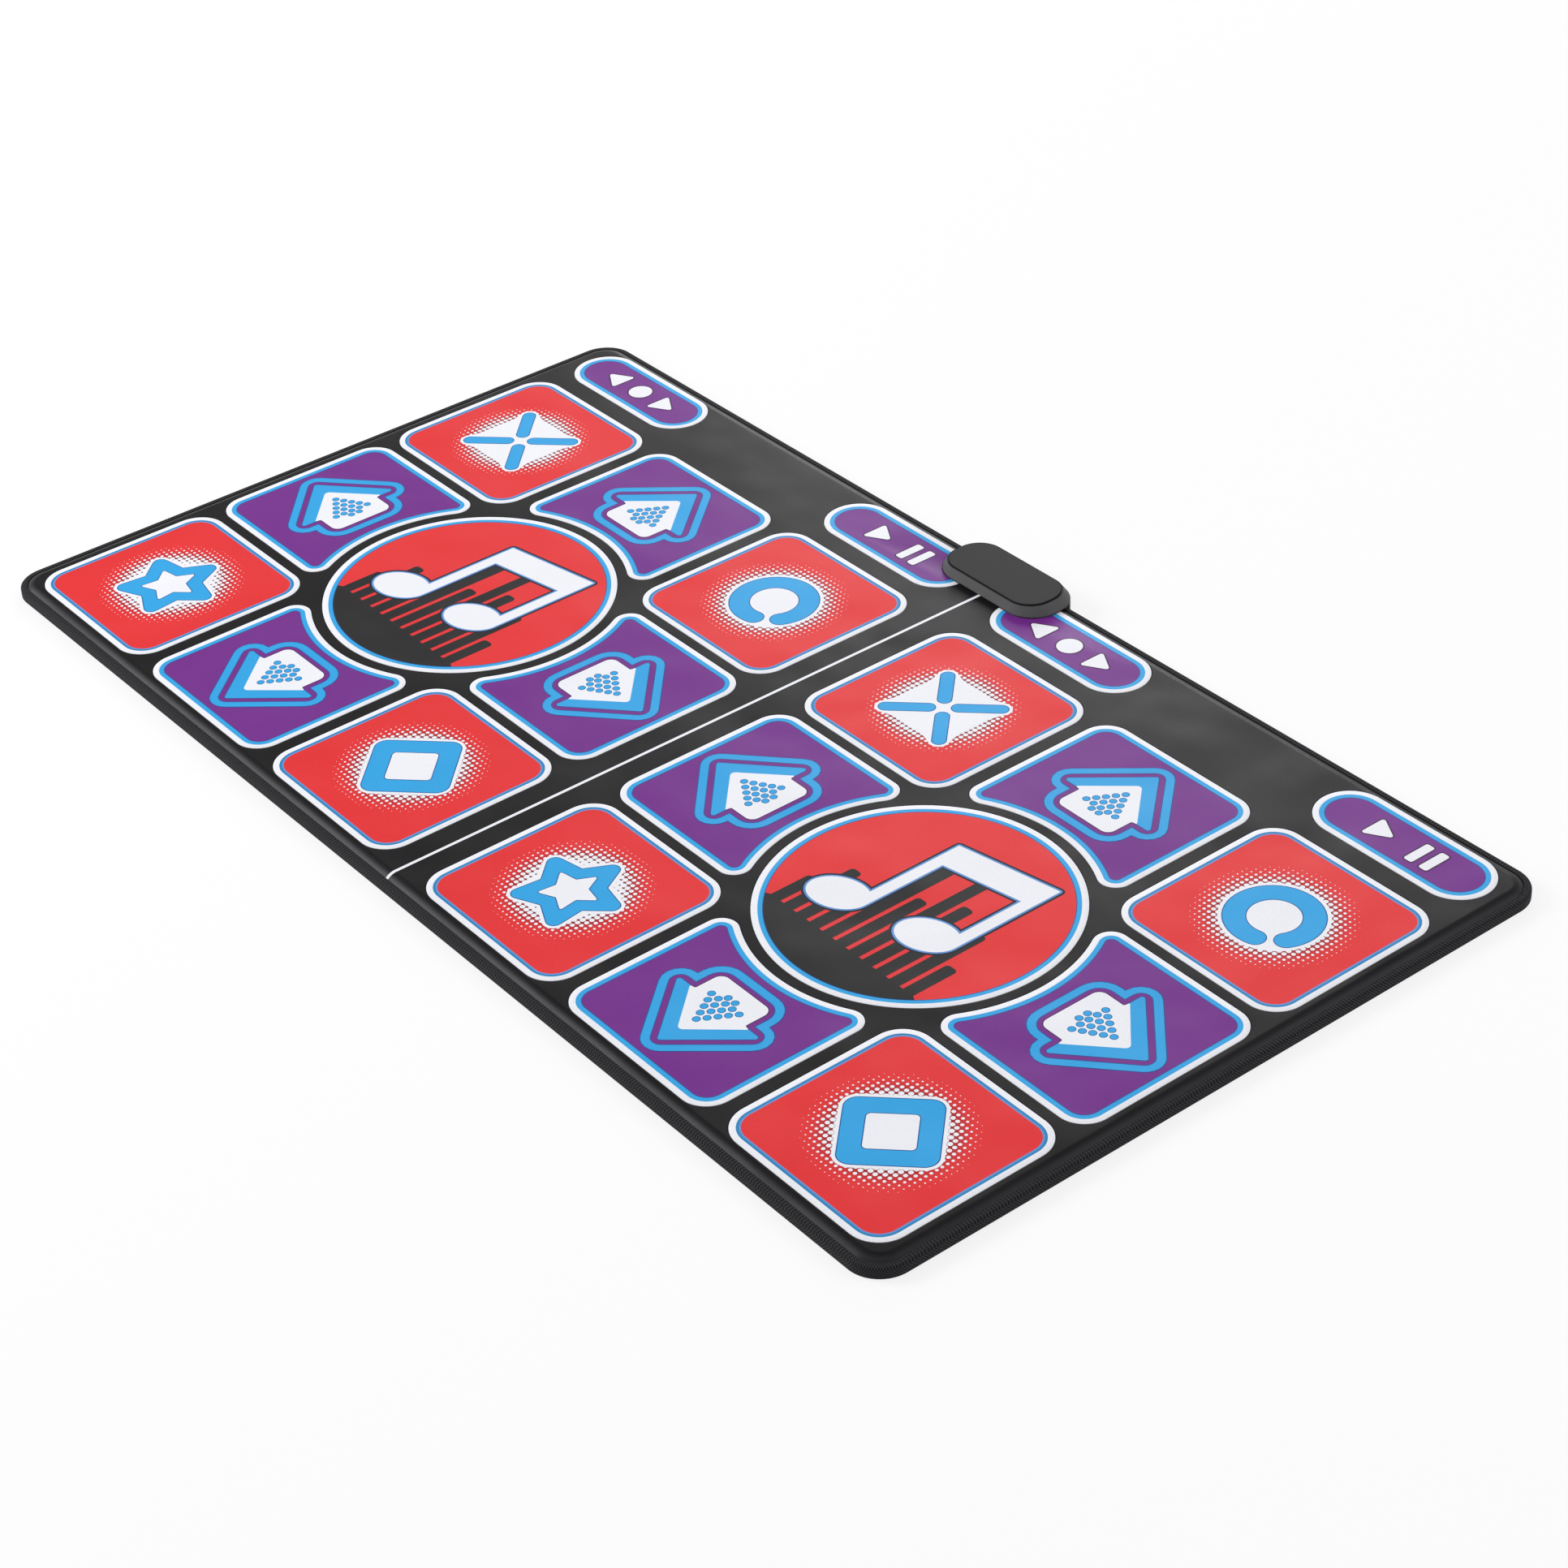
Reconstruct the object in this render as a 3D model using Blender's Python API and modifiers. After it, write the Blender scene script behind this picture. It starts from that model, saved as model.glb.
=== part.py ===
"""Two-player dance mat controller: a soft mat with twenty foot buttons and an electronics pod on its rear edge.

Units are metres, +Z is up, +Y is the rear edge and +X the second player's side.
The origin is the middle of the mat's underside.
"""

import math

import bmesh
import bpy
from mathutils import Matrix

# Thicknesses of the layers
BACKING_THICKNESS = 0.0010
FOAM_THICKNESS = 0.0097
FILM_THICKNESS = 0.0004
CONTACT_THICKNESS = 0.0015
COVER_THICKNESS = 0.0013
SEAM = 0.0003  # between pieces that touch

# How far a button travels, and what is left between its contacts then
PRESS_TRAVEL = 0.0025
PRESS_LEFT = 0.0002

# The woven binding, folded over the edge, and the cover that rolls down to it
TAPE_THICKNESS = 0.0010
TAPE_FLAP = 0.0080
TAPE_ROUND = 0.0020
COVER_ROLL = 0.0046
MAT_CORNER = 0.0400
LAYER_CLEARANCE = 0.0021  # from the roll to the films and the spacer

# The buttons
PAD_SIDE = 0.2435
PAD_CORNER = 0.0360
ARROW_CORNER = 0.0320
DISC_RADIUS = 0.1765
DISC_GAP = 0.0135  # from the disc to the arrow panels that hug it
HUG_CORNER = 0.0200
PILL_LENGTH = 0.2350
PILL_WIDTH = 0.0850
PANEL_GAP = 0.0004
WINDOW_GAP = 0.0010
CONTACT_INSET = 0.0080

# The spaces between them, and round them up to the edge of the layers below
COLUMN_GAP = 0.0183
ROW_GAP = 0.0140
PILL_GAP = 0.02725
MIDDLE_MARGIN = 0.03195
FRONT_MARGIN = 0.00675
SIDE_MARGIN = 0.01095
REAR_MARGIN = 0.0025
FILM_SPLIT = 0.0060

# The pod
POD_LENGTH = 0.1810
POD_DEPTH = 0.0840
POD_END_FLAT = 0.0080  # the straight part of each end
POD_OVERHANG = 0.0200  # behind the mat's rear edge
POD_RISE = 0.0145  # above the cover
POD_SLOPE = 0.0085  # how far the walls lean in
POD_PROFILE = ((0.0, 0.0), (0.04, 0.09))  # shares of the slope and of the rise, up to the straight wall
POD_LEDGE = 0.0010  # the step round the flat top
POD_STEP = 0.0012  # how high that step is
POD_ROUND = 0.0006
POD_WALL = 0.0020
POD_CLEARANCE = 0.0010  # to the buttons beside it
FOOT_INSET = 0.0008  # from the pod's outline to the feet that close its rim down to the tape
FOOT_GAP = 0.0005  # round the feet
POD_SIDE_LAP = 0.0165  # how far the pod laps over the mat beside the notch
POD_FRONT_LAP = 0.0175
NOTCH_GAP = 0.0005
TUB_LOW = 0.0005
TUB_FLOOR = 0.0020
TUB_WALL = 0.0018

# The screws and what they pass through
SHAFT_RADIUS = 0.0012
SHAFT_LENGTH = 0.0110
SHAFT_POINT = 0.0005
HEAD_RADIUS = 0.0026
HEAD_HEIGHT = 0.0018
HEAD_CHAMFER = 0.0005
SEAT_THICKNESS = 0.0030  # from the shoulder under the head to the sleeve's top
HEAD_RECESS = 0.0009
SLEEVE_RADIUS = 0.0046
SLEEVE_GAP = 0.0036  # from a front sleeve to the tub's walls
SLEEVE_REAR_GAP = 0.0070
SLEEVE_ACROSS = 0.0040  # a rear sleeve stands this far past the middle of the pod's corner
BOSS_RADIUS = 0.0038
BLIND_SPARE = 0.0009  # the hole goes on past the screw's point

# Inside the pod
BOARD_THICKNESS = 0.0016
BOARD_FRONT_GAP = 0.0042
BOARD_SIDE_GAP = 0.0064
BOARD_REAR_GAP = 0.0060
POST_RADIUS = 0.0030
POST_INSET = 0.0050
CHIP_SIDE = 0.0120
CHIP_HEIGHT = 0.0016
TAIL_WIDTH = 0.0160
TAIL_INSET = 0.0220  # from the board's end to the middle of a tail
SLOT_MARGIN = 0.0010
CONNECTOR_SETBACK = 0.0030
CONNECTOR_CHEEK = 0.0020
CONNECTOR_DEPTH = 0.0060
CONNECTOR_FLOOR = 0.0004
CONNECTOR_ROOF = 0.0020
CONNECTOR_GRIP = 0.0030  # how far the tail goes in

# The rubber bush where the cord would leave
GLAND_BORE = 0.0032
GLAND_WALL = 0.0016
GLAND_RIM = 0.0007  # from the flange to the tub's rim and floor
GLAND_FLANGE_THICKNESS = 0.0016
GLAND_INNER_STEP = 0.0006
GLAND_NOSE = 0.0040

# How finely the curves are drawn
CORNER_STEPS = 6
HIDDEN_STEPS = 2
HUG_STEPS = 7
ROLL_STEPS = 3
TURN_STEPS = 24
DISC_STEPS = 40
THROUGH = 0.010  # how far a cutter runs past what it cuts

# Heights, from the floor up
FOAM_LOW = BACKING_THICKNESS + SEAM
FOAM_HIGH = FOAM_LOW + FOAM_THICKNESS
FILM_LOW = FOAM_HIGH + SEAM
FILM_HIGH = FILM_LOW + FILM_THICKNESS
CONTACT_LOW = FILM_HIGH + PRESS_LEFT + PRESS_TRAVEL
CONTACT_HIGH = CONTACT_LOW + CONTACT_THICKNESS
SPACER_LOW = FILM_HIGH + SEAM
SPACER_HIGH = CONTACT_HIGH
COVER_LOW = SPACER_HIGH + SEAM
COVER_HIGH = COVER_LOW + COVER_THICKNESS
EDGE_LOW = FOAM_HIGH + SEAM
EDGE_HIGH = EDGE_LOW + COVER_THICKNESS
TAPE_HIGH = EDGE_HIGH + SEAM + TAPE_THICKNESS
POD_LOW = COVER_HIGH + SEAM
POD_HIGH = COVER_HIGH + POD_RISE
TUB_HIGH = POD_LOW - SEAM
BOARD_HIGH = FILM_LOW - 2 * SEAM - CONNECTOR_FLOOR
BOARD_LOW = BOARD_HIGH - BOARD_THICKNESS
SEAT_HIGH = TUB_LOW + HEAD_RECESS + HEAD_HEIGHT + SEAM
SLEEVE_HIGH = SEAT_HIGH + SEAT_THICKNESS

# The layout, seen from above
COLUMN_PITCH = PAD_SIDE + COLUMN_GAP
ROW_PITCH = PAD_SIDE + ROW_GAP
HALF_CENTRE = MIDDLE_MARGIN + PAD_SIDE / 2 + COLUMN_PITCH
PILL_ROW = ROW_PITCH + PAD_SIDE / 2 + PILL_GAP + PILL_WIDTH / 2
HUG_RADIUS = DISC_RADIUS + DISC_GAP
ROLL_START = TAPE_FLAP + SEAM + COVER_ROLL
LAYER_MARGIN = ROLL_START + LAYER_CLEARANCE
MAT_HALF_X = HALF_CENTRE + COLUMN_PITCH + PAD_SIDE / 2 + SIDE_MARGIN + LAYER_MARGIN
FRONT_REACH = ROW_PITCH + PAD_SIDE / 2 + FRONT_MARGIN + LAYER_MARGIN
REAR_REACH = PILL_ROW + PILL_WIDTH / 2 + REAR_MARGIN + LAYER_MARGIN
MAT_HALF_Y = (FRONT_REACH + REAR_REACH) / 2
FIELD_CENTRE_Y = FRONT_REACH - MAT_HALF_Y
POD_CORNER = (POD_DEPTH - POD_END_FLAT) / 2
POD_REAR = MAT_HALF_Y + POD_OVERHANG
POD_CENTRE_Y = POD_REAR - POD_DEPTH / 2
CORNER_X = POD_LENGTH / 2 - POD_CORNER
CORNER_Y = POD_REAR - POD_CORNER
NOTCH_HALF = POD_LENGTH / 2 - POD_SIDE_LAP
NOTCH_FRONT = POD_REAR - POD_DEPTH + POD_FRONT_LAP
TUB_FRONT = NOTCH_FRONT + NOTCH_GAP
TUB_HALF = NOTCH_HALF - NOTCH_GAP
SCREW_X = TUB_HALF - TUB_WALL - SLEEVE_GAP - SLEEVE_RADIUS
SCREW_Y = TUB_FRONT + TUB_WALL + SLEEVE_GAP + SLEEVE_RADIUS
SCREW_REAR_X = CORNER_X + SLEEVE_ACROSS
SCREW_REAR_Y = POD_REAR - TUB_WALL - SLEEVE_REAR_GAP - SLEEVE_RADIUS
BOARD_HALF = SCREW_X - SLEEVE_RADIUS - BOARD_SIDE_GAP
TAIL_CENTRE = BOARD_HALF - TAIL_INSET
BOARD_FRONT = TUB_FRONT + TUB_WALL + BOARD_FRONT_GAP
BOARD_REAR = SCREW_REAR_Y - SLEEVE_RADIUS - BOARD_REAR_GAP
CONNECTOR_FRONT = BOARD_FRONT + CONNECTOR_SETBACK
TAIL_END = CONNECTOR_FRONT + CONNECTOR_GRIP
GLAND_HEIGHT = (TUB_LOW + TUB_FLOOR + TUB_HIGH) / 2
GLAND_FLANGE = TUB_HIGH - GLAND_HEIGHT - GLAND_RIM
GLAND_NECK = GLAND_BORE + GLAND_WALL

# Each pad's column and row in a player's field, seen from the front
SQUARE_PADS = {"cross": (-1, 1), "ring": (1, 1), "star": (-1, -1), "diamond": (1, -1)}
ARROW_PADS = {"up": (0, 1), "down": (0, -1), "left": (-1, 0), "right": (1, 0)}
PILLS = {"select": -1, "start": 1}
PLAYERS = {"p1": -1, "p2": 1}


def empty_scene():
    for obj in list(bpy.data.objects):
        bpy.data.objects.remove(obj, do_unlink=True)


def collection(name):
    made = bpy.data.collections.new(name)
    bpy.context.scene.collection.children.link(made)
    return made


def material(name, colour, roughness, metallic=0.0):
    made = bpy.data.materials.new(name)
    made.use_nodes = True
    shader = made.node_tree.nodes["Principled BSDF"]
    shader.inputs["Base Color"].default_value = (*colour, 1.0)
    shader.inputs["Roughness"].default_value = roughness
    shader.inputs["Metallic"].default_value = metallic
    return made


# Outlines

def arc(centre, radius, start, end, steps):
    """Points along an arc, both ends included, with the angles in degrees."""
    turns = [math.radians(start + (end - start) * i / steps) for i in range(steps + 1)]
    return [(centre[0] + radius * math.cos(a), centre[1] + radius * math.sin(a)) for a in turns]


def rounded_rectangle(half_x, half_y, radius, grow=0.0, steps=CORNER_STEPS):
    """A rectangle with round corners about the origin; grow moves its whole edge outwards."""
    x, y = half_x - radius, half_y - radius
    corners = (((x, -y), -90), ((x, y), 0), ((-x, y), 90), ((-x, -y), 180))
    return [p for centre, start in corners for p in arc(centre, radius + grow, start, start + 90, steps)]


def circle(radius):
    return arc((0.0, 0.0), radius, 0, 360 - 360 / DISC_STEPS, DISC_STEPS - 1)


def hugging_outline(pitch, grow, steps):
    """An arrow panel that points along +Y, with its near edge concave round the disc at (0, -pitch)."""
    half = PAD_SIDE / 2
    far = half - ARROW_CORNER
    tip_x = half - HUG_CORNER
    tip_reach = math.sqrt((HUG_RADIUS + HUG_CORNER) ** 2 - tip_x**2)
    tip_y = tip_reach - pitch
    lean = math.degrees(math.atan2(tip_reach, tip_x))
    outer = arc((far, far), ARROW_CORNER + grow, 0, 90, steps)
    outer += arc((-far, far), ARROW_CORNER + grow, 90, 180, steps)
    left_tip = arc((-tip_x, tip_y), HUG_CORNER + grow, 180, 360 - lean, steps)
    hollow = arc((0.0, -pitch), HUG_RADIUS - grow, 180 - lean, lean, HUG_STEPS)
    right_tip = arc((tip_x, tip_y), HUG_CORNER + grow, 180 + lean, 360, steps)
    return outer + left_tip + hollow[1:-1] + right_tip


def turned_by(points, degrees):
    c, s = round(math.cos(math.radians(degrees))), round(math.sin(math.radians(degrees)))
    return [(c * x - s * y, s * x + c * y) for x, y in points]


def moved_by(points, x, y):
    return [(px + x, py + y) for px, py in points]


def mat_outline(inset):
    return rounded_rectangle(MAT_HALF_X, MAT_HALF_Y, MAT_CORNER, -inset)


def pod_outline(inset):
    return moved_by(rounded_rectangle(POD_LENGTH / 2, POD_DEPTH / 2, POD_CORNER, -inset), 0.0, POD_CENTRE_Y)


def tub_outline(inset):
    """The lower shell: narrow inside the mat's notch, and as wide as the pod behind the mat's edge."""
    front, half = TUB_FRONT + inset, TUB_HALF - inset
    shoulder = MAT_HALF_Y + NOTCH_GAP + inset
    radius = POD_CORNER - inset
    start = math.degrees(math.asin((shoulder - CORNER_Y) / radius))
    right = arc((CORNER_X, CORNER_Y), radius, start, 90, CORNER_STEPS)
    left = [(-x, y) for x, y in reversed(right)]
    return [(-half, front), (half, front), (half, shoulder)] + right + left + [(-half, shoulder)]


def foot_outline():
    """The right foot under the pod's rim: a strip of the pod's corner that stands over the tape."""
    side, low = NOTCH_HALF + FOOT_GAP, MAT_HALF_Y - TAPE_FLAP + FOOT_GAP
    radius = POD_CORNER - FOOT_INSET
    start, end = (math.degrees(math.asin((y - CORNER_Y) / radius)) for y in (low, MAT_HALF_Y - FOOT_GAP))
    return [(side, low)] + arc((CORNER_X, CORNER_Y), radius, start, end, HIDDEN_STEPS) + [(side, MAT_HALF_Y - FOOT_GAP)]


def film_outline():
    """The second player's contact film, with the tail that runs into the pod."""
    inner, outer = FILM_SPLIT / 2, MAT_HALF_X - LAYER_MARGIN
    rear = MAT_HALF_Y - LAYER_MARGIN
    notch_front = NOTCH_FRONT - NOTCH_GAP
    notch_side = NOTCH_HALF + NOTCH_GAP
    radius = MAT_CORNER - LAYER_MARGIN
    corner_x, corner_y = outer - radius, rear - radius
    tail_left, tail_right = TAIL_CENTRE - TAIL_WIDTH / 2, TAIL_CENTRE + TAIL_WIDTH / 2
    edge = [(inner, -rear)]
    edge += arc((corner_x, -corner_y), radius, -90, 0, CORNER_STEPS)
    edge += arc((corner_x, corner_y), radius, 0, 90, CORNER_STEPS)
    edge += [(notch_side, rear), (notch_side, notch_front), (tail_right, notch_front)]
    edge += [(tail_right, TAIL_END), (tail_left, TAIL_END), (tail_left, notch_front), (inner, notch_front)]
    return edge


# Solids

booleans = []


def add_mesh(name, home, finish, mesh):
    obj = bpy.data.objects.new(name, mesh)
    home.objects.link(obj)
    if finish is not None:
        mesh.materials.clear()
        mesh.materials.append(finish)
    return obj


def slab(name, home, finish, outline, low, high):
    """A flat piece between two heights: a filled 2D outline, extruded, then made a mesh with its caps welded."""
    curve = bpy.data.curves.new(name, "CURVE")
    curve.dimensions = "2D"
    curve.fill_mode = "BOTH"
    curve.extrude = (high - low) / 2
    spline = curve.splines.new("POLY")
    spline.points.add(len(outline) - 1)
    for point, (x, y) in zip(spline.points, outline):
        point.co = (x, y, 0.0, 1.0)
    spline.use_cyclic_u = True
    guide = bpy.data.objects.new(name + "_outline", curve)
    guide.location.z = (low + high) / 2
    home.objects.link(guide)
    bpy.context.view_layer.update()
    mesh = bpy.data.meshes.new_from_object(guide.evaluated_get(bpy.context.evaluated_depsgraph_get()))
    mesh.name = name
    made = bmesh.new()
    made.from_mesh(mesh)
    bmesh.ops.remove_doubles(made, verts=made.verts, dist=1e-6)
    bmesh.ops.recalc_face_normals(made, faces=made.faces)
    made.to_mesh(mesh)
    made.free()
    obj = add_mesh(name, home, finish, mesh)
    obj.matrix_world = guide.matrix_world.copy()
    bpy.data.objects.remove(guide)
    return obj


def lofted(name, home, finish, sections, ring=False):
    """Skin over (outline, height) sections of equal point counts: capped, or closed on itself as a ring."""
    made = bmesh.new()
    rows = [[made.verts.new((x, y, z)) for x, y in outline] for outline, z in sections]
    pairs = list(zip(rows, rows[1:]))
    if ring:
        pairs.append((rows[-1], rows[0]))
    else:
        made.faces.new(list(reversed(rows[0])))
        made.faces.new(rows[-1])
    for low, high in pairs:
        for i in range(len(low)):
            j = (i + 1) % len(low)
            made.faces.new((low[i], low[j], high[j], high[i]))
    bmesh.ops.recalc_face_normals(made, faces=made.faces)
    mesh = bpy.data.meshes.new(name)
    made.to_mesh(mesh)
    made.free()
    return add_mesh(name, home, finish, mesh)


def cylinder(name, home, finish, radius, x, y, low, high):
    made = bmesh.new()
    place = Matrix.Translation((x, y, (low + high) / 2))
    bmesh.ops.create_cone(
        made, cap_ends=True, segments=TURN_STEPS, radius1=radius, radius2=radius, depth=high - low, matrix=place
    )
    mesh = bpy.data.meshes.new(name)
    made.to_mesh(mesh)
    made.free()
    return add_mesh(name, home, finish, mesh)


def box(name, home, finish, low, high):
    made = bmesh.new()
    middle = [(a + b) / 2 for a, b in zip(low, high)]
    size = Matrix.Diagonal([b - a for a, b in zip(low, high)]).to_4x4()
    bmesh.ops.create_cube(made, size=1.0, matrix=Matrix.Translation(middle) @ size)
    mesh = bpy.data.meshes.new(name)
    made.to_mesh(mesh)
    made.free()
    return add_mesh(name, home, finish, mesh)


def turned(name, home, finish, profile):
    """A profile of (radius, height) points, turned once round Z; it is closed unless its ends are on the axis."""
    made = bmesh.new()
    verts = [made.verts.new((r, 0.0, z)) for r, z in profile]
    ends = [] if profile[0][0] == 0.0 else verts[:1]
    for first, second in zip(verts, verts[1:] + ends):
        made.edges.new((first, second))
    mesh = bpy.data.meshes.new(name)
    made.to_mesh(mesh)
    made.free()
    obj = add_mesh(name, home, finish, mesh)
    screw = obj.modifiers.new("turn", "SCREW")
    screw.steps = screw.render_steps = TURN_STEPS
    screw.use_merge_vertices = True
    screw.merge_threshold = 1e-5
    return obj


def as_cutter(obj):
    obj.hide_render = True
    obj.display_type = "WIRE"
    return obj


def boolean(obj, other, operation="DIFFERENCE"):
    """Notes a cut or a join; it is added to the object when every solid is there."""
    booleans.append((obj, as_cutter(other), operation))


def cut_by_all(obj, cutters):
    booleans.append((obj, cutters, "DIFFERENCE"))


def add_booleans():
    for obj, other, operation in booleans:
        step = obj.modifiers.new(operation.lower() + "_" + other.name, "BOOLEAN")
        step.operation = operation
        if isinstance(other, bpy.types.Collection):
            step.operand_type = "COLLECTION"
            step.collection = other
        else:
            step.object = other


def put_origin(obj, place):
    """Moves the origin onto the joint's line and leaves the shape where it is."""
    obj.data.transform(Matrix.Translation(place).inverted() @ obj.matrix_world)
    obj.matrix_world = Matrix.Translation(place)


# Buttons

def button_place(player, button):
    """Where a button's middle is."""
    centre_x = PLAYERS[player] * HALF_CENTRE
    if button in PILLS:
        return centre_x + PILLS[button] * COLUMN_PITCH, FIELD_CENTRE_Y + PILL_ROW
    column, row = {**SQUARE_PADS, **ARROW_PADS}[button]
    return centre_x + column * COLUMN_PITCH, FIELD_CENTRE_Y + row * ROW_PITCH


def button_outline(button, grow, steps):
    if button in PILLS:
        radius = PILL_WIDTH / 2
        return rounded_rectangle(PILL_LENGTH / 2, radius, radius, grow, 2 * steps)
    if button in SQUARE_PADS:
        return rounded_rectangle(PAD_SIDE / 2, PAD_SIDE / 2, PAD_CORNER, grow, steps)
    turns = {"up": 0, "left": 90, "down": 180, "right": 270}
    pitch = ROW_PITCH if button in ("up", "down") else COLUMN_PITCH
    return turned_by(hugging_outline(pitch, grow, steps), turns[button])


def button_solid(name, home, finish, cutters, player, button, grow, low, high, steps=CORNER_STEPS):
    """A button's outline between two heights, cut back where the pod sits over its end."""
    outline = moved_by(button_outline(button, grow, steps), *button_place(player, button))
    obj = slab(name, home, finish, outline, low, high)
    if (player, button) in (("p1", "start"), ("p2", "select")):
        pod = slab(name + "_pod_cutter", cutters, None, pod_outline(grow - POD_CLEARANCE),
                   low - THROUGH, high + THROUGH)
        boolean(obj, pod)
    return obj


def each_button():
    for player in PLAYERS:
        for button in [*SQUARE_PADS, *ARROW_PADS, *PILLS]:
            yield player, button


def make_buttons(parts, cutters, finishes):
    for player, button in each_button():
        finish = finishes["red_print"] if button in SQUARE_PADS else finishes["purple_print"]
        panel = button_solid(f"{player}_panel_{button}", parts, finish, cutters, player, button,
                             0.0, COVER_LOW, COVER_HIGH)
        contact = button_solid(f"{player}_contact_{button}", parts, finishes["contact"], cutters, player, button,
                               -CONTACT_INSET, CONTACT_LOW, CONTACT_HIGH, HIDDEN_STEPS)
        x, y = button_place(player, button)
        put_origin(panel, (x, y, COVER_LOW))
        put_origin(contact, (x, y, COVER_LOW))
        contact.parent = panel
        contact.matrix_parent_inverse = Matrix.Translation((x, y, COVER_LOW)).inverted()


# Mat

def cover_roll(thinner, low, high):
    """Sections of the cover's rolled edge, from the tape up to the flat top."""
    across = COVER_ROLL - thinner
    turns = arc((0.0, 0.0), 1.0, 0, 90, ROLL_STEPS)
    return [(mat_outline(ROLL_START - across * c), low + (high - low) * s) for c, s in turns]


def make_mat(parts, cutters, finishes):
    notch = box("notch_cutter", cutters, None,
                (-NOTCH_HALF, NOTCH_FRONT, -THROUGH),
                (NOTCH_HALF, MAT_HALF_Y + THROUGH, COVER_HIGH + THROUGH))
    fold = TAPE_THICKNESS + SEAM

    backing_step = TAPE_FLAP + SEAM
    backing = lofted("bottom_cover", parts, finishes["backing"], [
        (mat_outline(backing_step), 0.0),
        (mat_outline(backing_step), fold),
        (mat_outline(fold), fold),
        (mat_outline(fold), fold + BACKING_THICKNESS),
        (mat_outline(backing_step + BACKING_THICKNESS), fold + BACKING_THICKNESS),
        (mat_outline(backing_step + BACKING_THICKNESS), BACKING_THICKNESS),
    ])
    foam_step = backing_step + BACKING_THICKNESS + SEAM
    foam = lofted("foam_core", parts, finishes["foam"], [
        (mat_outline(foam_step), FOAM_LOW),
        (mat_outline(foam_step), fold + BACKING_THICKNESS + SEAM),
        (mat_outline(fold), fold + BACKING_THICKNESS + SEAM),
        (mat_outline(fold), FOAM_HIGH),
    ])

    skirt = [(mat_outline(fold), EDGE_LOW), (mat_outline(fold), EDGE_HIGH)]
    underside = cover_roll(COVER_THICKNESS, EDGE_LOW, COVER_LOW)
    topside = cover_roll(0.0, EDGE_HIGH, COVER_HIGH)
    cover = lofted("top_cover", parts, finishes["vinyl"], underside[::-1] + skirt + topside)

    tape_inside = EDGE_HIGH + SEAM
    bend = TAPE_ROUND * (1 - math.cos(math.radians(45)))
    binding = lofted("edge_binding", parts, finishes["tape"], [
        (mat_outline(TAPE_FLAP), 0.0),
        (mat_outline(TAPE_ROUND), 0.0),
        (mat_outline(bend), bend),
        (mat_outline(0.0), TAPE_ROUND),
        (mat_outline(0.0), TAPE_HIGH - TAPE_ROUND),
        (mat_outline(bend), TAPE_HIGH - bend),
        (mat_outline(TAPE_ROUND), TAPE_HIGH),
        (mat_outline(TAPE_FLAP), TAPE_HIGH),
        (mat_outline(TAPE_FLAP), tape_inside),
        (mat_outline(TAPE_THICKNESS), tape_inside),
        (mat_outline(TAPE_THICKNESS), TAPE_THICKNESS),
        (mat_outline(TAPE_FLAP), TAPE_THICKNESS),
    ], ring=True)
    spacer = slab("spacer_foam", parts, finishes["foam"], mat_outline(LAYER_MARGIN), SPACER_LOW, SPACER_HIGH)
    for layer in (backing, foam, cover, binding, spacer):
        boolean(layer, notch)

    right = film_outline()
    left = [(-x, y) for x, y in reversed(right)]
    for side, outline in (("left", left), ("right", right)):
        slab("lower_film_" + side, parts, finishes["film"], outline, FILM_LOW, FILM_HIGH)

    openings = collection("cover openings")
    windows = collection("spacer windows")
    for player, button in each_button():
        as_cutter(button_solid(f"{player}_{button}_opening", openings, None, cutters, player, button,
                               PANEL_GAP, COVER_LOW - THROUGH, COVER_HIGH + THROUGH))
        as_cutter(button_solid(f"{player}_{button}_window", windows, None, cutters, player, button,
                               WINDOW_GAP, SPACER_LOW - THROUGH, SPACER_HIGH + THROUGH))
    for side, sign in (("left", -1), ("right", 1)):
        hole = moved_by(circle(DISC_RADIUS + PANEL_GAP), sign * HALF_CENTRE, FIELD_CENTRE_Y)
        as_cutter(slab(side + "_disc_opening", openings, None, hole, COVER_LOW - THROUGH, COVER_HIGH + THROUGH))
        disc = moved_by(circle(DISC_RADIUS), sign * HALF_CENTRE, FIELD_CENTRE_Y)
        slab("disc_" + side, parts, finishes["red_print"], disc, COVER_LOW, COVER_HIGH)
    cut_by_all(cover, openings)
    cut_by_all(spacer, windows)


# Pod

def screw_places():
    return ((-SCREW_X, SCREW_Y), (SCREW_X, SCREW_Y), (-SCREW_REAR_X, SCREW_REAR_Y), (SCREW_REAR_X, SCREW_REAR_Y))


def post_places():
    x = BOARD_HALF - POST_INSET
    front, rear = BOARD_FRONT + POST_INSET, BOARD_REAR - POST_INSET
    return ((-x, front), (x, front), (-x, rear), (x, rear))


def rear_wall_place():
    """Turns what stands along Z to stand out of the pod's rear wall, at the cord's height."""
    return Matrix.Translation((0.0, POD_REAR, GLAND_HEIGHT)) @ Matrix.Rotation(math.radians(-90), 4, "X")


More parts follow.
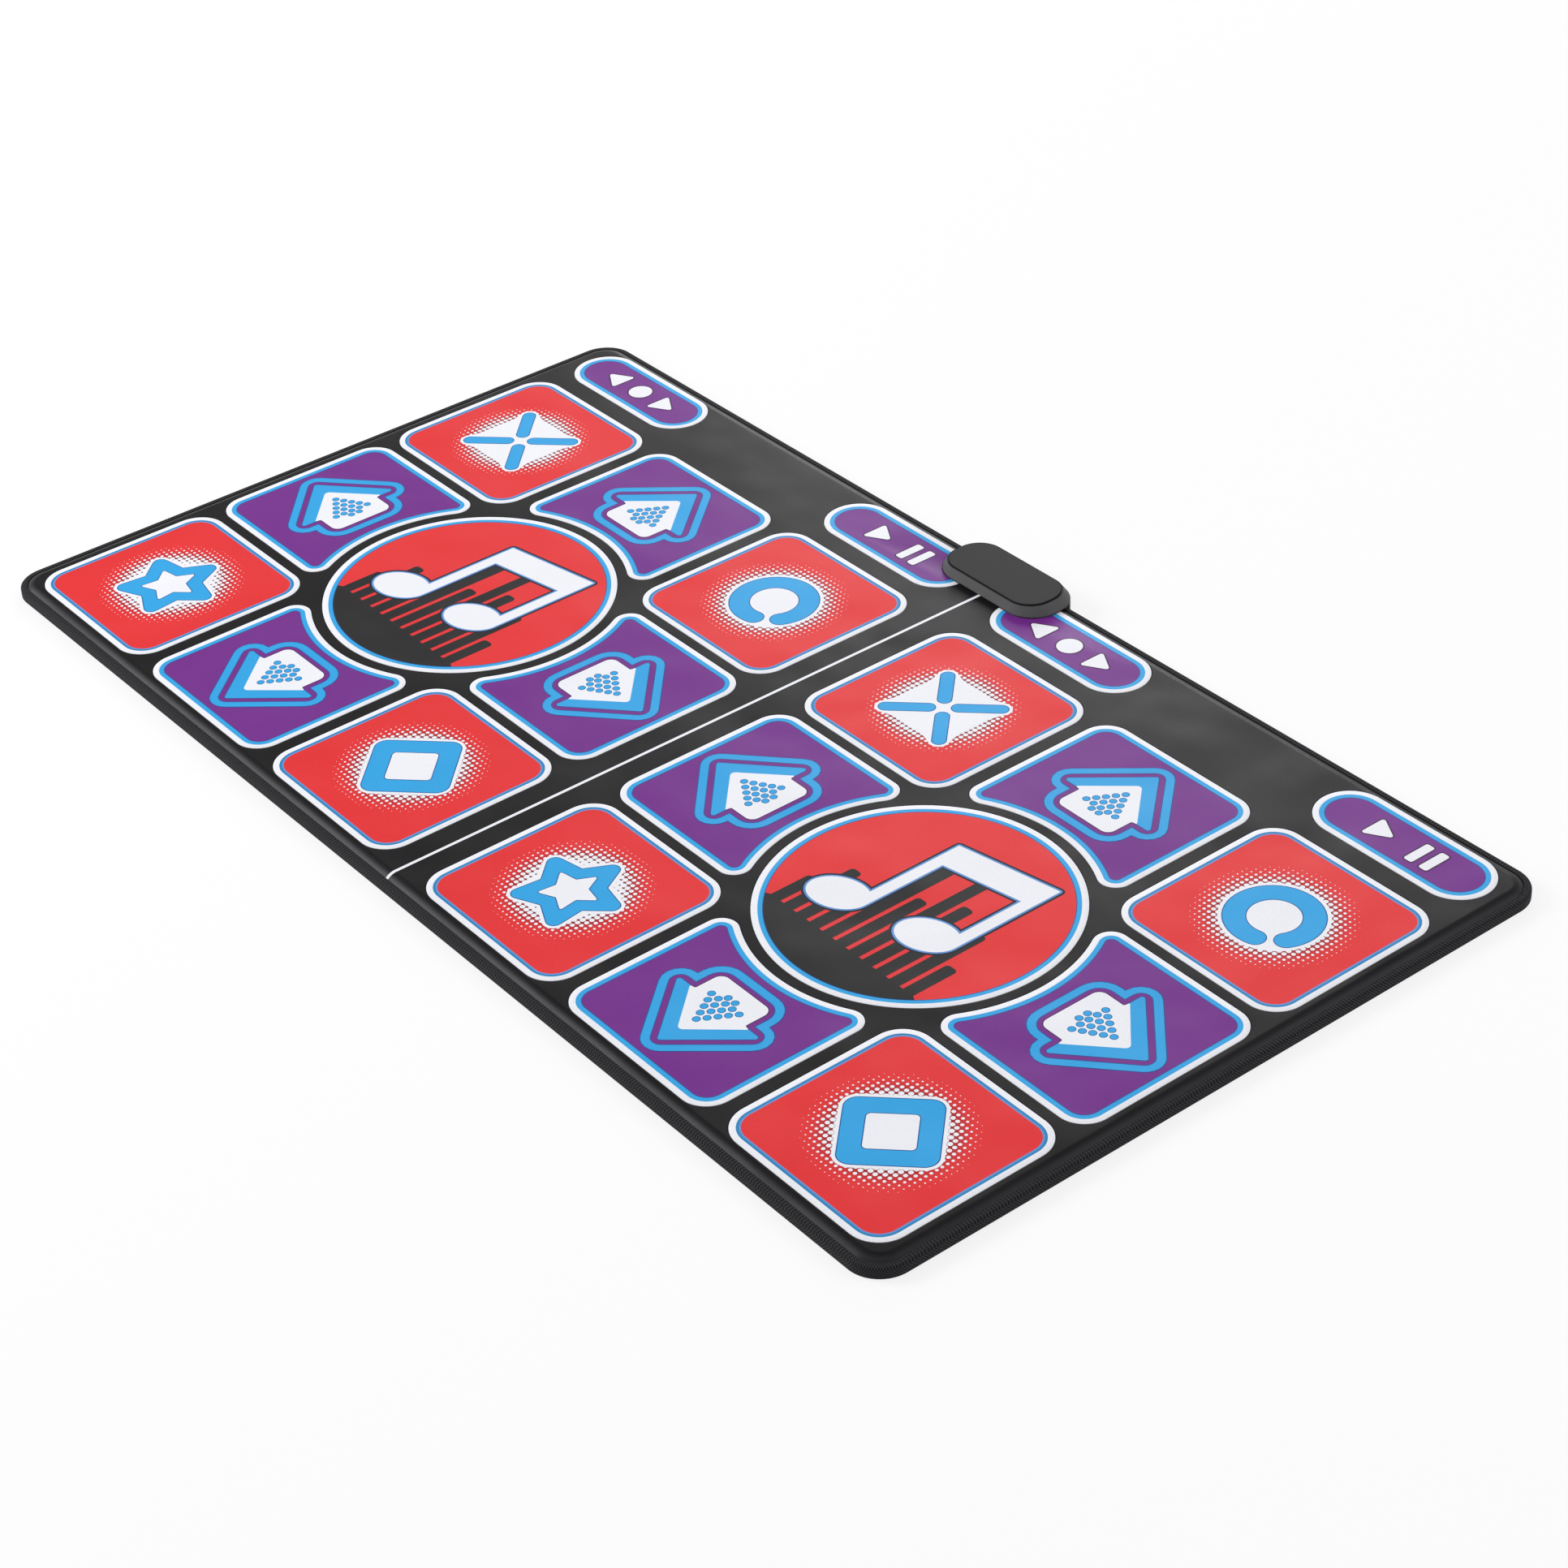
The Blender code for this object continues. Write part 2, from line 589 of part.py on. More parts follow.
def make_pod_shells(parts, cutters, finishes):
    top_inset = POD_SLOPE + POD_LEDGE
    shelf = POD_HIGH - POD_STEP
    sections = [(pod_outline(POD_SLOPE * across), POD_LOW + POD_RISE * up) for across, up in POD_PROFILE]
    sections += [
        (pod_outline(POD_SLOPE), shelf),
        (pod_outline(top_inset), shelf),
        (pod_outline(top_inset), POD_HIGH - POD_ROUND),
        (pod_outline(top_inset + POD_ROUND), POD_HIGH),
    ]
    upper = lofted("pod_upper_shell", parts, finishes["pod"], sections)
    ceiling = POD_HIGH - POD_WALL
    hollow = lofted("pod_hollow", cutters, None, [
        (pod_outline(POD_WALL), POD_LOW - THROUGH),
        (pod_outline(POD_WALL), POD_LOW),
        (pod_outline(POD_WALL + POD_SLOPE), ceiling - POD_STEP),
        (pod_outline(POD_WALL + top_inset), ceiling),
    ])
    boolean(upper, hollow)
    right_foot = foot_outline()
    left_foot = [(-x, y) for x, y in reversed(right_foot)]
    for side, outline in (("left", left_foot), ("right", right_foot)):
        foot = lofted("pod_foot_" + side, cutters, None, [(outline, TAPE_HIGH + SEAM), (outline, POD_LOW + POD_WALL / 2)])
        boolean(upper, foot, "UNION")

    tub = lofted("pod_lower_shell", parts, finishes["pod"], [
        (tub_outline(0.0), TUB_LOW),
        (tub_outline(0.0), TUB_HIGH),
    ])
    inside = lofted("tub_hollow", cutters, None, [
        (tub_outline(TUB_WALL), TUB_LOW + TUB_FLOOR),
        (tub_outline(TUB_WALL), TUB_HIGH + THROUGH),
    ])
    boolean(tub, inside)

    boss_low = SLEEVE_HIGH + SEAM
    bore = SHAFT_RADIUS + SEAM
    neck = SEAT_HIGH - SEAM
    tip = SEAT_HIGH + SHAFT_LENGTH
    head_low = neck - HEAD_HEIGHT
    for number, (x, y) in enumerate(screw_places(), 1):
        sleeve = cylinder(f"sleeve_{number}", cutters, None, SLEEVE_RADIUS, x, y,
                          TUB_LOW + TUB_FLOOR / 2, SLEEVE_HIGH)
        boolean(tub, sleeve, "UNION")
        boss = cylinder(f"boss_{number}", cutters, None, BOSS_RADIUS, x, y, boss_low, ceiling + POD_ROUND)
        boolean(upper, boss, "UNION")
        head_hole = cylinder(f"head_hole_{number}", cutters, None, HEAD_RADIUS + SEAM, x, y,
                             TUB_LOW - THROUGH, SEAT_HIGH)
        boolean(tub, head_hole)
        shaft_hole = cylinder(f"shaft_hole_{number}", cutters, None, bore, x, y, TUB_LOW, SLEEVE_HIGH + THROUGH)
        boolean(tub, shaft_hole)
        blind_hole = cylinder(f"blind_hole_{number}", cutters, None, bore, x, y,
                              boss_low - THROUGH, tip + BLIND_SPARE)
        boolean(upper, blind_hole)
        screw = turned(f"pod_screw_{number}", parts, finishes["steel"], [
            (0.0, tip), (SHAFT_RADIUS - SHAFT_POINT, tip), (SHAFT_RADIUS, tip - SHAFT_POINT),
            (SHAFT_RADIUS, neck), (HEAD_RADIUS, neck), (HEAD_RADIUS, head_low + HEAD_CHAMFER),
            (HEAD_RADIUS - HEAD_CHAMFER, head_low), (0.0, head_low),
        ])
        screw.location = (x, y, 0.0)

    for number, (x, y) in enumerate(post_places(), 1):
        post = cylinder(f"post_{number}", cutters, None, POST_RADIUS, x, y,
                        TUB_LOW + TUB_FLOOR / 2, BOARD_LOW - SEAM)
        boolean(tub, post, "UNION")
    slot_half = TAIL_WIDTH / 2 + SLOT_MARGIN
    for side, middle in (("left", -TAIL_CENTRE), ("right", TAIL_CENTRE)):
        slot = box("tail_slot_" + side, cutters, None,
                   (middle - slot_half, TUB_FRONT - SLOT_MARGIN, FILM_LOW - SLOT_MARGIN),
                   (middle + slot_half, TUB_FRONT + TUB_WALL + SLOT_MARGIN, FILM_HIGH + SLOT_MARGIN))
        boolean(tub, slot)
    gland_hole = cylinder("gland_hole", cutters, None, GLAND_NECK + SEAM, 0.0, 0.0, -THROUGH, THROUGH)
    gland_hole.matrix_world = rear_wall_place()
    boolean(tub, gland_hole)


def make_pod_inside(parts, cutters, finishes):
    box("circuit_board", parts, finishes["board"],
        (-BOARD_HALF, BOARD_FRONT, BOARD_LOW), (BOARD_HALF, BOARD_REAR, BOARD_HIGH))
    on_board = BOARD_HIGH + SEAM
    mouth = TAIL_WIDTH / 2 + SEAM
    half = TAIL_WIDTH / 2 + CONNECTOR_CHEEK
    for side, middle in (("left", -TAIL_CENTRE), ("right", TAIL_CENTRE)):
        connector = box("tail_connector_" + side, parts, finishes["chip"],
                        (middle - half, CONNECTOR_FRONT, on_board),
                        (middle + half, CONNECTOR_FRONT + CONNECTOR_DEPTH, FILM_HIGH + SEAM + CONNECTOR_ROOF))
        slit = box("connector_slit_" + side, cutters, None,
                   (middle - mouth, CONNECTOR_FRONT - THROUGH, FILM_LOW - SEAM),
                   (middle + mouth, TAIL_END + SEAM, FILM_HIGH + SEAM))
        boolean(connector, slit)
    chip_y = (BOARD_FRONT + BOARD_REAR) / 2
    box("controller_chip", parts, finishes["chip"],
        (-CHIP_SIDE / 2, chip_y - CHIP_SIDE / 2, on_board),
        (CHIP_SIDE / 2, chip_y + CHIP_SIDE / 2, on_board + CHIP_HEIGHT))

    outside = SEAM
    flange_out = outside + GLAND_FLANGE_THICKNESS
    wall_inside = -TUB_WALL - SEAM
    flange_in = wall_inside - GLAND_FLANGE_THICKNESS
    inner_flange = GLAND_FLANGE - GLAND_INNER_STEP
    gland = turned("cord_gland", parts, finishes["rubber"], [
        (GLAND_BORE, flange_out + GLAND_NOSE), (GLAND_NECK, flange_out + GLAND_NOSE),
        (GLAND_FLANGE, flange_out), (GLAND_FLANGE, outside),
        (GLAND_NECK, outside), (GLAND_NECK, wall_inside),
        (inner_flange, wall_inside), (inner_flange, flange_in),
        (GLAND_BORE, flange_in),
    ])
    gland.matrix_world = rear_wall_place()


def shade_round(parts):
    for obj in parts.objects:
        obj.data.shade_smooth()
        obj.data.set_sharp_from_angle(angle=math.radians(35))


def main():
    empty_scene()
    parts = collection("dance mat controller")
    cutters = collection("cutters")
    finishes = {
        "vinyl": material("black vinyl", (0.035, 0.034, 0.040), 0.55),
        "tape": material("woven tape", (0.025, 0.025, 0.028), 0.85),
        "backing": material("anti-slip backing", (0.030, 0.030, 0.034), 0.80),
        "foam": material("foam", (0.12, 0.12, 0.13), 0.90),
        "film": material("contact film", (0.55, 0.60, 0.62), 0.35),
        "contact": material("contact patch", (0.45, 0.46, 0.48), 0.40),
        "red_print": material("red printed vinyl", (0.80, 0.065, 0.065), 0.50),
        "purple_print": material("purple printed vinyl", (0.21, 0.038, 0.29), 0.50),
        "pod": material("pod plastic", (0.055, 0.055, 0.058), 0.40),
        "board": material("circuit board", (0.02, 0.16, 0.06), 0.45),
        "chip": material("chip", (0.02, 0.02, 0.02), 0.50),
        "rubber": material("gland rubber", (0.02, 0.02, 0.02), 0.75),
        "steel": material("screw steel", (0.60, 0.60, 0.62), 0.30, 1.0),
    }
    make_mat(parts, cutters, finishes)
    make_buttons(parts, cutters, finishes)
    make_pod_shells(parts, cutters, finishes)
    make_pod_inside(parts, cutters, finishes)
    add_booleans()
    shade_round(parts)


main()
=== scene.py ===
# %% Load the frame
import math
from contextlib import contextmanager

import bmesh
import bpy
from mathutils import Matrix, Vector


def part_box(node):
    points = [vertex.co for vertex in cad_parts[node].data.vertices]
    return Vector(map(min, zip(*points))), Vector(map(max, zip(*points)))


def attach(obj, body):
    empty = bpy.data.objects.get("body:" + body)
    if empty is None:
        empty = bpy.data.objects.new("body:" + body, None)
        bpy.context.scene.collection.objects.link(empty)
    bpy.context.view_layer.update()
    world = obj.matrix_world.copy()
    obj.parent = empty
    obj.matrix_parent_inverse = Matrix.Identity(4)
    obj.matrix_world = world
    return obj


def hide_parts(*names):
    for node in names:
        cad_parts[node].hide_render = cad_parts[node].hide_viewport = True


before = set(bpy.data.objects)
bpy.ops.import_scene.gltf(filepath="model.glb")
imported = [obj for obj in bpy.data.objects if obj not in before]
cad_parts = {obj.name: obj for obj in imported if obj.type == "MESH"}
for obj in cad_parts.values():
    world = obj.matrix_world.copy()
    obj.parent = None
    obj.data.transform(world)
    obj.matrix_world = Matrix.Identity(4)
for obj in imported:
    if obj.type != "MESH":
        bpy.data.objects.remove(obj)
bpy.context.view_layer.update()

# %% [markdown]
# The object is a soft dance mat for two players. It lies flat on the floor, so nearly all that shows is
# printed vinyl: every shape here starts from the outlines of the mat and of its buttons, seen from above.
# The sizes are read from the frame where the frame has them. The others are the solids' own, in metres.

# %% Sizes of the mat
mat_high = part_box("edge_binding")[1]
HALF_X, HALF_Y = mat_high.x, mat_high.y
MAT_CORNER = 0.040
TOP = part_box("p1_panel_up")[1].z
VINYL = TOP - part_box("p1_panel_up")[0].z
SEAM = 0.0003
FLAP, TAPE = 0.008, 0.0010
TAPE_TOP = mat_high.z
EDGE_TOP = TAPE_TOP - TAPE - SEAM
ROLL, ROLL_STEPS = 0.0120, 10
LINE_HALF = 0.002
INK, LAYER = 0.00008, 0.00003

PAD = 0.2435
PAD_CORNER, ARROW_CORNER, HUG_CORNER = 0.036, 0.032, 0.020
DISC = 0.1765
HUG_RADIUS = DISC + 0.0135
PILL_LENGTH, PILL_WIDTH = 0.235, 0.085
WINDOW_GAP = 0.0009
RED_BANDS, PURPLE_BANDS, DISC_BANDS = (0.0070, 0.0029, 0.0019), (0.0070, 0.0056, 0.0009), (0.0072, 0.0050, 0.0010)
POD_CORNER = 0.038
pod_low, pod_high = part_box("pod_upper_shell")
POD_LENGTH, POD_DEPTH = pod_high.x - pod_low.x, pod_high.y - pod_low.y
POD_Y = (pod_high.y + pod_low.y) / 2
RIM, PEAK, SLOPE = TOP + SEAM, pod_high.z, 0.0085
SHELF = PEAK - 0.0012
POD_CLEARANCE, POD_WALL = 0.0010, 0.0016
NOTCH_WIDTH, NOTCH_DEPTH = POD_LENGTH - 0.033, HALF_Y - pod_low.y - 0.0175
print("mat", round(2 * HALF_X, 4), "x", round(2 * HALF_Y, 4), "top at", round(TOP, 4))


def middle_of(node):
    low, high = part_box(node)
    return (low.x + high.x) / 2, (low.y + high.y) / 2


DISC_AT = {"p1": middle_of("disc_left"), "p2": middle_of("disc_right")}
COLUMN, ROW, PILL_ROW = 0.2618, 0.2575, 0.4490
PLACES = {
    "cross": (-1, 1), "ring": (1, 1), "star": (-1, -1), "diamond": (1, -1),
    "up": (0, 1), "down": (0, -1), "left": (-1, 0), "right": (1, 0),
}
PILLS = {"select": -1, "start": 1}


def button_at(player, button):
    x, y = DISC_AT[player]
    if button in PILLS:
        return x + PILLS[button] * COLUMN, y + PILL_ROW
    column, row = PLACES[button]
    return x + column * COLUMN, y + row * ROW


# %% [markdown]
# The camera stands in front of the mat's right half, about 35 degrees above the floor, and leans a little.
# Its place comes from lining up the rows of pads with the photograph, so it is written as a point, a point to
# look at and a roll. The lens has no shift and the picture has no blur.

# %% Camera
CAMERA_AT = Vector((2.7220, -1.9499, 2.2470))
LOOK_AT = Vector((0.15099, -0.02421, 0.0175))
CAMERA_ROLL = -2.937
bpy.ops.object.camera_add(location=CAMERA_AT)
camera = bpy.context.object
camera.name = "camera"
camera.data.sensor_width = 36.0
camera.data.lens = 81.904
camera.data.clip_start, camera.data.clip_end = 0.05, 100.0
facing = (LOOK_AT - CAMERA_AT).to_track_quat("-Z", "Y").to_matrix()
camera.rotation_euler = (facing @ Matrix.Rotation(math.radians(CAMERA_ROLL), 3, "Z")).to_euler()
bpy.context.scene.camera = camera
bpy.context.scene.view_settings.view_transform = "Standard"
print("camera", [round(v, 3) for v in camera.location])


# %% [markdown]
# A material is a tree of nodes, and much of it is arithmetic. Written as Python expressions it stays readable:
# a wrapped socket knows how to add, subtract, multiply and divide, and each operation puts one Math node in
# the tree.

# %% Shader expressions
class Wire:
    """A node's output that can be used in an expression."""

    def __init__(self, finish, socket):
        self.finish, self.socket = finish, socket

    def maths(self, operation, *others):
        return self.finish.node("ShaderNodeMath", {"operation": operation}, [self, *others])

    def __add__(self, other): return self.maths("ADD", other)
    def __radd__(self, other): return self.maths("ADD", other)
    def __mul__(self, other): return self.maths("MULTIPLY", other)
    def __rmul__(self, other): return self.maths("MULTIPLY", other)
    def __sub__(self, other): return self.maths("SUBTRACT", other)
    def __rsub__(self, other): return (self * -1.0) + other
    def __truediv__(self, other): return self.maths("DIVIDE", other)
    def __abs__(self): return self.maths("ABSOLUTE")
    def fraction(self): return self.maths("FRACT")
    def floor(self): return self.maths("FLOOR")
    def sine(self): return self.maths("SINE")
    def above(self, edge): return self.maths("GREATER_THAN", edge)
    def at_least(self, other): return self.maths("MAXIMUM", other)
    def at_most(self, other): return self.maths("MINIMUM", other)

    def between(self, low, high, out_low=0.0, out_high=1.0, smooth=False):
        """Runs from out_low to out_high while this runs from low to high, and stays there."""
        kind = "SMOOTHSTEP" if smooth else "LINEAR"
        return self.finish.node("ShaderNodeMapRange", {"interpolation_type": kind, "clamp": True},
                                [self, low, high, out_low, out_high])


print("what a wire can do:", [name for name in vars(Wire) if not name.startswith("_")])

# %% [markdown]
# A finish is a material with its tree. Any node but the maths comes from one method that takes the node's
# type, its settings and what goes into its sockets. The shorter methods are for the nodes used most: the
# object's own coordinates, noise, a mix of two colours, and a bump that can lie on another bump.

# %% Materials as trees
class Finish:
    """A material and the nodes that make it."""

    def __init__(self, name):
        self.material = bpy.data.materials.new(name)
        self.material.use_nodes = True
        self.tree = self.material.node_tree
        self.shader = self.tree.nodes["Principled BSDF"]

    def node(self, kind, settings, inputs, output=0):
        made = self.tree.nodes.new(kind)
        for name, value in settings.items():
            setattr(made, name, value)
        pairs = inputs.items() if isinstance(inputs, dict) else enumerate(inputs)
        for key, value in pairs:
            self.plug(made.inputs[key], value)
        return Wire(self, made.outputs[output])

    def plug(self, socket, value):
        if isinstance(value, Wire):
            self.tree.links.new(value.socket, socket)
        elif isinstance(value, tuple) and len(value) == 3 and len(socket.default_value) == 4:
            socket.default_value = (*value, 1.0)
        else:
            socket.default_value = value

    def set(self, **values):
        for name, value in values.items():
            self.plug(self.shader.inputs[name.replace("_", " ")], value)
        return self

    def place(self):
        return self.node("ShaderNodeTexCoord", {}, [], "Object")

    def parts(self, vector):
        split = self.tree.nodes.new("ShaderNodeSeparateXYZ")
        self.plug(split.inputs[0], vector)
        return [Wire(self, s) for s in split.outputs]

    def noise(self, scale, detail=2.0):
        inputs = {"Vector": self.place(), "Scale": scale, "Detail": detail}
        return self.node("ShaderNodeTexNoise", {}, inputs, "Fac")

    def mix(self, share, first, second):
        made = self.tree.nodes.new("ShaderNodeMix")
        made.data_type = "RGBA"
        for socket, value in ((made.inputs[0], share), (made.inputs[6], first), (made.inputs[7], second)):
            self.plug(socket, value)
        return Wire(self, made.outputs[2])

    def bump(self, height, distance, under=None):
        inputs = {"Height": height, "Distance": distance, "Strength": 1.0}
        if under is not None:
            inputs["Normal"] = under
        return self.node("ShaderNodeBump", {}, inputs, "Normal")


def ink(red, green, blue):
    """A colour as a picture shows it, from 0 to 255, made linear for the shader."""
    shares = [v / 255 for v in (red, green, blue)]
    return tuple(s / 12.92 if s <= 0.04045 else ((s + 0.055) / 1.055) ** 2.4 for s in shares)


WHITE, BLUE, DEEP_BLUE = ink(238, 239, 245), ink(48, 163, 226), ink(22, 84, 152)
RED, MAROON, PURPLE = ink(226, 48, 51), ink(100, 8, 24), ink(114, 42, 137)
# The last of these is a painted sheen for the black skin's rolled edge.
CHARCOAL, BLACK, ROLL_PAINTED_SHEEN = ink(34, 32, 34), ink(12, 11, 14), ink(43, 43, 47)
print("red in linear light", [round(v, 3) for v in RED])

# %% [markdown]
# The whole top is PVC sheet. It is satin, with a fine pebbled grain, and it lies on foam, so it is never
# quite flat: long shallow waves bend its reflections. Every printed colour shares that surface, and the ink
# only changes its colour.

# %% Printed vinyl
SHEEN = 0.13
GRAIN_SCALE, PORE_SCALE, GRAIN_DEPTH = 900.0, 700.0, 0.00004
WAVE_SCALE, WAVE_HEIGHT = 9.0, 0.0042
GRAIN_TONE = 0.90


def vinyl(name, colour, roughness=0.44):
    """The printed sheet. Its colour is a plain one, or a function that makes one in the finish's tree."""
    made = Finish(name)
    fine = made.noise(GRAIN_SCALE)
    pores = made.node("ShaderNodeTexVoronoi", {}, {"Vector": made.place(), "Scale": PORE_SCALE}, "Distance")
    waves = made.bump(made.noise(WAVE_SCALE, 1.0), WAVE_HEIGHT)
    if callable(colour):
        colour = colour(made)
    darker = made.mix(GRAIN_TONE, (0.0, 0.0, 0.0), colour)
    made.set(Base_Color=made.mix(fine.between(0.35, 0.55), darker, colour), Specular_IOR_Level=SHEEN,
             Roughness=fine.between(0.3, 0.7, roughness - 0.05, roughness + 0.05),
             Normal=made.bump(fine + pores * 0.6, GRAIN_DEPTH, under=waves))
    return made.material


print("grain", GRAIN_DEPTH * 1000, "mm deep")

# %% [markdown]
# On the red pads the print is a halftone: rows of white dots that shrink outwards from the symbol, over a
# shadow that fades from maroon to red. A dot is the part of a square cell that lies nearer its middle than the
# dot's radius, and the radius follows the cell's distance from the pad's centre.

# %% Halftone
DOT_PITCH, DOT_LARGEST, DOT_SMALLEST = 0.0068, 0.0047, 0.0002
DOTS_FROM, DOTS_TO = 0.040, 0.0895
SHADOW_FROM, SHADOW_TO = 0.048, 0.082
SOFT_EDGE = 0.0001


def halftone(made):
    uv = made.node("ShaderNodeUVMap", {"uv_map": "pad"}, [], "UV")
    across, along, _ = made.parts(uv)
    x, y = (across - 0.5) * PAD, (along - 0.5) * PAD
    far = (x * x + y * y).maths("SQRT")
    column, row = x / DOT_PITCH, y / DOT_PITCH
    in_x, in_y = column.fraction() - 0.5, row.fraction() - 0.5
    from_dot = (in_x * in_x + in_y * in_y).maths("SQRT") * DOT_PITCH
    cell_x, cell_y = (column.floor() + 0.5) * DOT_PITCH, (row.floor() + 0.5) * DOT_PITCH
    cell_far = (cell_x * cell_x + cell_y * cell_y).maths("SQRT")
    radius = cell_far.between(DOTS_FROM, DOTS_TO, DOT_LARGEST, DOT_SMALLEST)
    dots = (radius - from_dot).between(-SOFT_EDGE, SOFT_EDGE) * (1.0 - cell_far.above(DOTS_TO))
    ground = made.mix(far.between(SHADOW_FROM, SHADOW_TO, smooth=True), MAROON, RED)
    return made.mix(dots, ground, WHITE)


print("dots across a pad", round(PAD / DOT_PITCH))


# %% [markdown]
# The inks follow, each on the same sheet. The black skin is painted a little lighter where it rolls down to the tape: a
# painted sheen on the roll.

# %% Inks
def black_with_painted_roll_sheen(made):
    height = made.parts(made.place())[2]
    # Painted highlight: the roll below the top is painted lighter, to stand for the sheen it catches.
    return made.mix(height.between(TOP - 0.0022, TOP - 0.0001, 1.0, 0.0), BLACK, ROLL_PAINTED_SHEEN)


FINISHES = {
    "white": vinyl("white_ink", WHITE),
    "blue": vinyl("blue_ink", BLUE),
    "deep": vinyl("deep_blue_ink", DEEP_BLUE),
    "pale": vinyl("pale_blue_ink", ink(98, 146, 208)),
    "sea": vinyl("sea_blue_ink", ink(40, 132, 190)),
    "navy": vinyl("navy_ink", ink(16, 28, 48)),
    "red": vinyl("red_ink", RED),
    "red_pad": vinyl("red_print", halftone),
    "purple": vinyl("purple_ink", PURPLE),
    "plum": vinyl("plum_ink", ink(66, 22, 74)),
    "charcoal": vinyl("charcoal_ink", CHARCOAL),
    "black": vinyl("black_vinyl", black_with_painted_roll_sheen, 0.42),
}
print(len(FINISHES), "inks")

# %% [markdown]
# The binding is a woven tape. Its pattern has to run along the edge on all four sides, so the shader works
# out how far in from the mat's rounded outline a point lies, and how far along. The first is the distance to
# a rounded rectangle, and the second is the difference of the two coordinates' sizes, which grows steadily
# round every corner. The weave is the product of two waves, one along the edge and one across the tape and
# down its side. The stitches are short dashes at one distance from the edge.

# %% Woven tape
WEAVE_PITCH = 0.0038
STITCH_INSET, STITCH_HALF, STITCH_PITCH, STITCH_SHARE = 0.0058, 0.0004, 0.0045, 0.72


def inset_of(made):
    x, y, z = made.parts(made.place())
    over_x = abs(x) - (HALF_X - MAT_CORNER)
    over_y = abs(y) - (HALF_Y - MAT_CORNER)
    out_x, out_y = over_x.at_least(0.0), over_y.at_least(0.0)
    outside = (out_x * out_x + out_y * out_y).maths("SQRT")
    inside = over_x.at_least(over_y).at_most(0.0)
    return (outside + inside) * -1.0 + MAT_CORNER, abs(x) - abs(y), z


tape = Finish("woven_tape")
inset, along, height = inset_of(tape)
across = inset - height
turn = 2 * math.pi / WEAVE_PITCH
weave = (along * turn).sine() * (across * turn).sine()
stitch_line = 1.0 - (abs(inset - STITCH_INSET) / STITCH_HALF).at_most(1.0)
stitches = stitch_line * (1.0 - (along / STITCH_PITCH).fraction().above(STITCH_SHARE)) * height.above(0.012)
tape.set(
    Base_Color=tape.mix(weave.between(-0.5, 0.8), ink(8, 8, 9), ink(58, 58, 62)),
    Roughness=weave.between(-1.0, 1.0, 0.85, 0.60),
    Specular_IOR_Level=SHEEN,
    Normal=tape.bump(weave * 0.4 + stitches, 0.0006),
)
FINISHES["tape"] = tape.material
print("nodes in the tape's finish", len(tape.tree.nodes))

# %% [markdown]
# Below the skin the materials are plainer, but each still has what the real one shows: raised dots on the
# anti-slip backing, printed tracks on the films, and copper tracks under the board's green mask.

# %% Finishes of the backing, the films and the board
NUB_PITCH = 0.006
TRACK_PITCH, TRACK_SHARE = 0.012, 0.35
COPPER_X, COPPER_Y = 0.0026, 0.009
backing = Finish("anti_slip_backing")
x, y, _ = backing.parts(backing.place())
cell_x, cell_y = (x / NUB_PITCH).fraction() - 0.5, (y / NUB_PITCH).fraction() - 0.5
nub = (cell_x * cell_x + cell_y * cell_y).maths("SQRT").between(0.18, 0.34, 1.0, 0.0, smooth=True)
backing.set(Base_Color=backing.mix(nub, ink(38, 38, 42), ink(56, 56, 60)), Roughness=0.78,
            Normal=backing.bump(nub, 0.0004))
FINISHES["backing"] = backing.material

film = Finish("contact_film")
x, y, _ = film.parts(film.place())
track_x, track_y = (1.0 - (v / TRACK_PITCH).fraction().above(TRACK_SHARE) for v in (x, y))
track = track_x.at_least(track_y)
film.set(Base_Color=film.mix(track, ink(190, 198, 202), ink(92, 94, 98)), Roughness=track.between(0, 1, 0.3, 0.55))
FINISHES["film"] = film.material

board = Finish("circuit_board")
x, y, _ = board.parts(board.place())
copper = (x / COPPER_X).fraction().above(0.62) * (y / COPPER_Y).fraction().above(0.3)
board.set(Base_Color=board.mix(copper, ink(14, 88, 52), ink(38, 128, 74)), Roughness=0.42,
          Normal=board.bump(copper, 0.0001))
FINISHES["board"] = board.material
print(len(FINISHES), "finishes so far")

# %% [markdown]
# Foam, rubber, moulded plastic and steel have one colour with a fine uneven surface. The walls of the pod's upper
# moulding are painted a paler grey than its top, as painted light for the light that falls on them.

# %% Finishes of the foam, the pod and the small parts
MOULDED = 2600.0


def grainy(name, colour, roughness, scale, depth, **more):
    """A plain finish with a fine uneven surface and a slight change of tone."""
    made = Finish(name)
    fine = made.noise(scale, 3.0)
    light = tuple(min(1.0, c * 1.25 + 0.004) for c in colour)
    made.set(Base_Color=made.mix(fine.between(0.3, 0.7), colour, light),
             Roughness=fine.between(0.3, 0.7, roughness - 0.06, roughness + 0.06),
             Normal=made.bump(fine, depth), **more)
    return made


FINISHES["foam"] = grainy("foam", ink(96, 96, 100), 0.88, 1400.0, 0.0003).material
FINISHES["contact"] = grainy("contact_patch", ink(176, 178, 182), 0.42, 600.0, 0.00003).material
pod = grainy("pod_plastic", ink(48, 48, 49), 0.52, MOULDED, 0.00005, Specular_IOR_Level=0.05)
height = pod.parts(pod.place())[2]
# Painted light: the walls below the top are painted paler, to stand for the light they catch.
painted_light_walls = height.between(SHELF - 0.0010, SHELF - 0.0004, 1.0, 0.0) * height.above(RIM)
rubbed = pod.noise(MOULDED, 3.0).between(0.3, 0.7)
pod_tone = pod.mix(rubbed, ink(48, 48, 49), ink(56, 56, 57))
painted_wall_light = pod.mix(rubbed, ink(88, 88, 89), ink(98, 98, 99))
FINISHES["pod"] = pod.set(Base_Color=pod.mix(painted_light_walls, pod_tone, painted_wall_light)).material
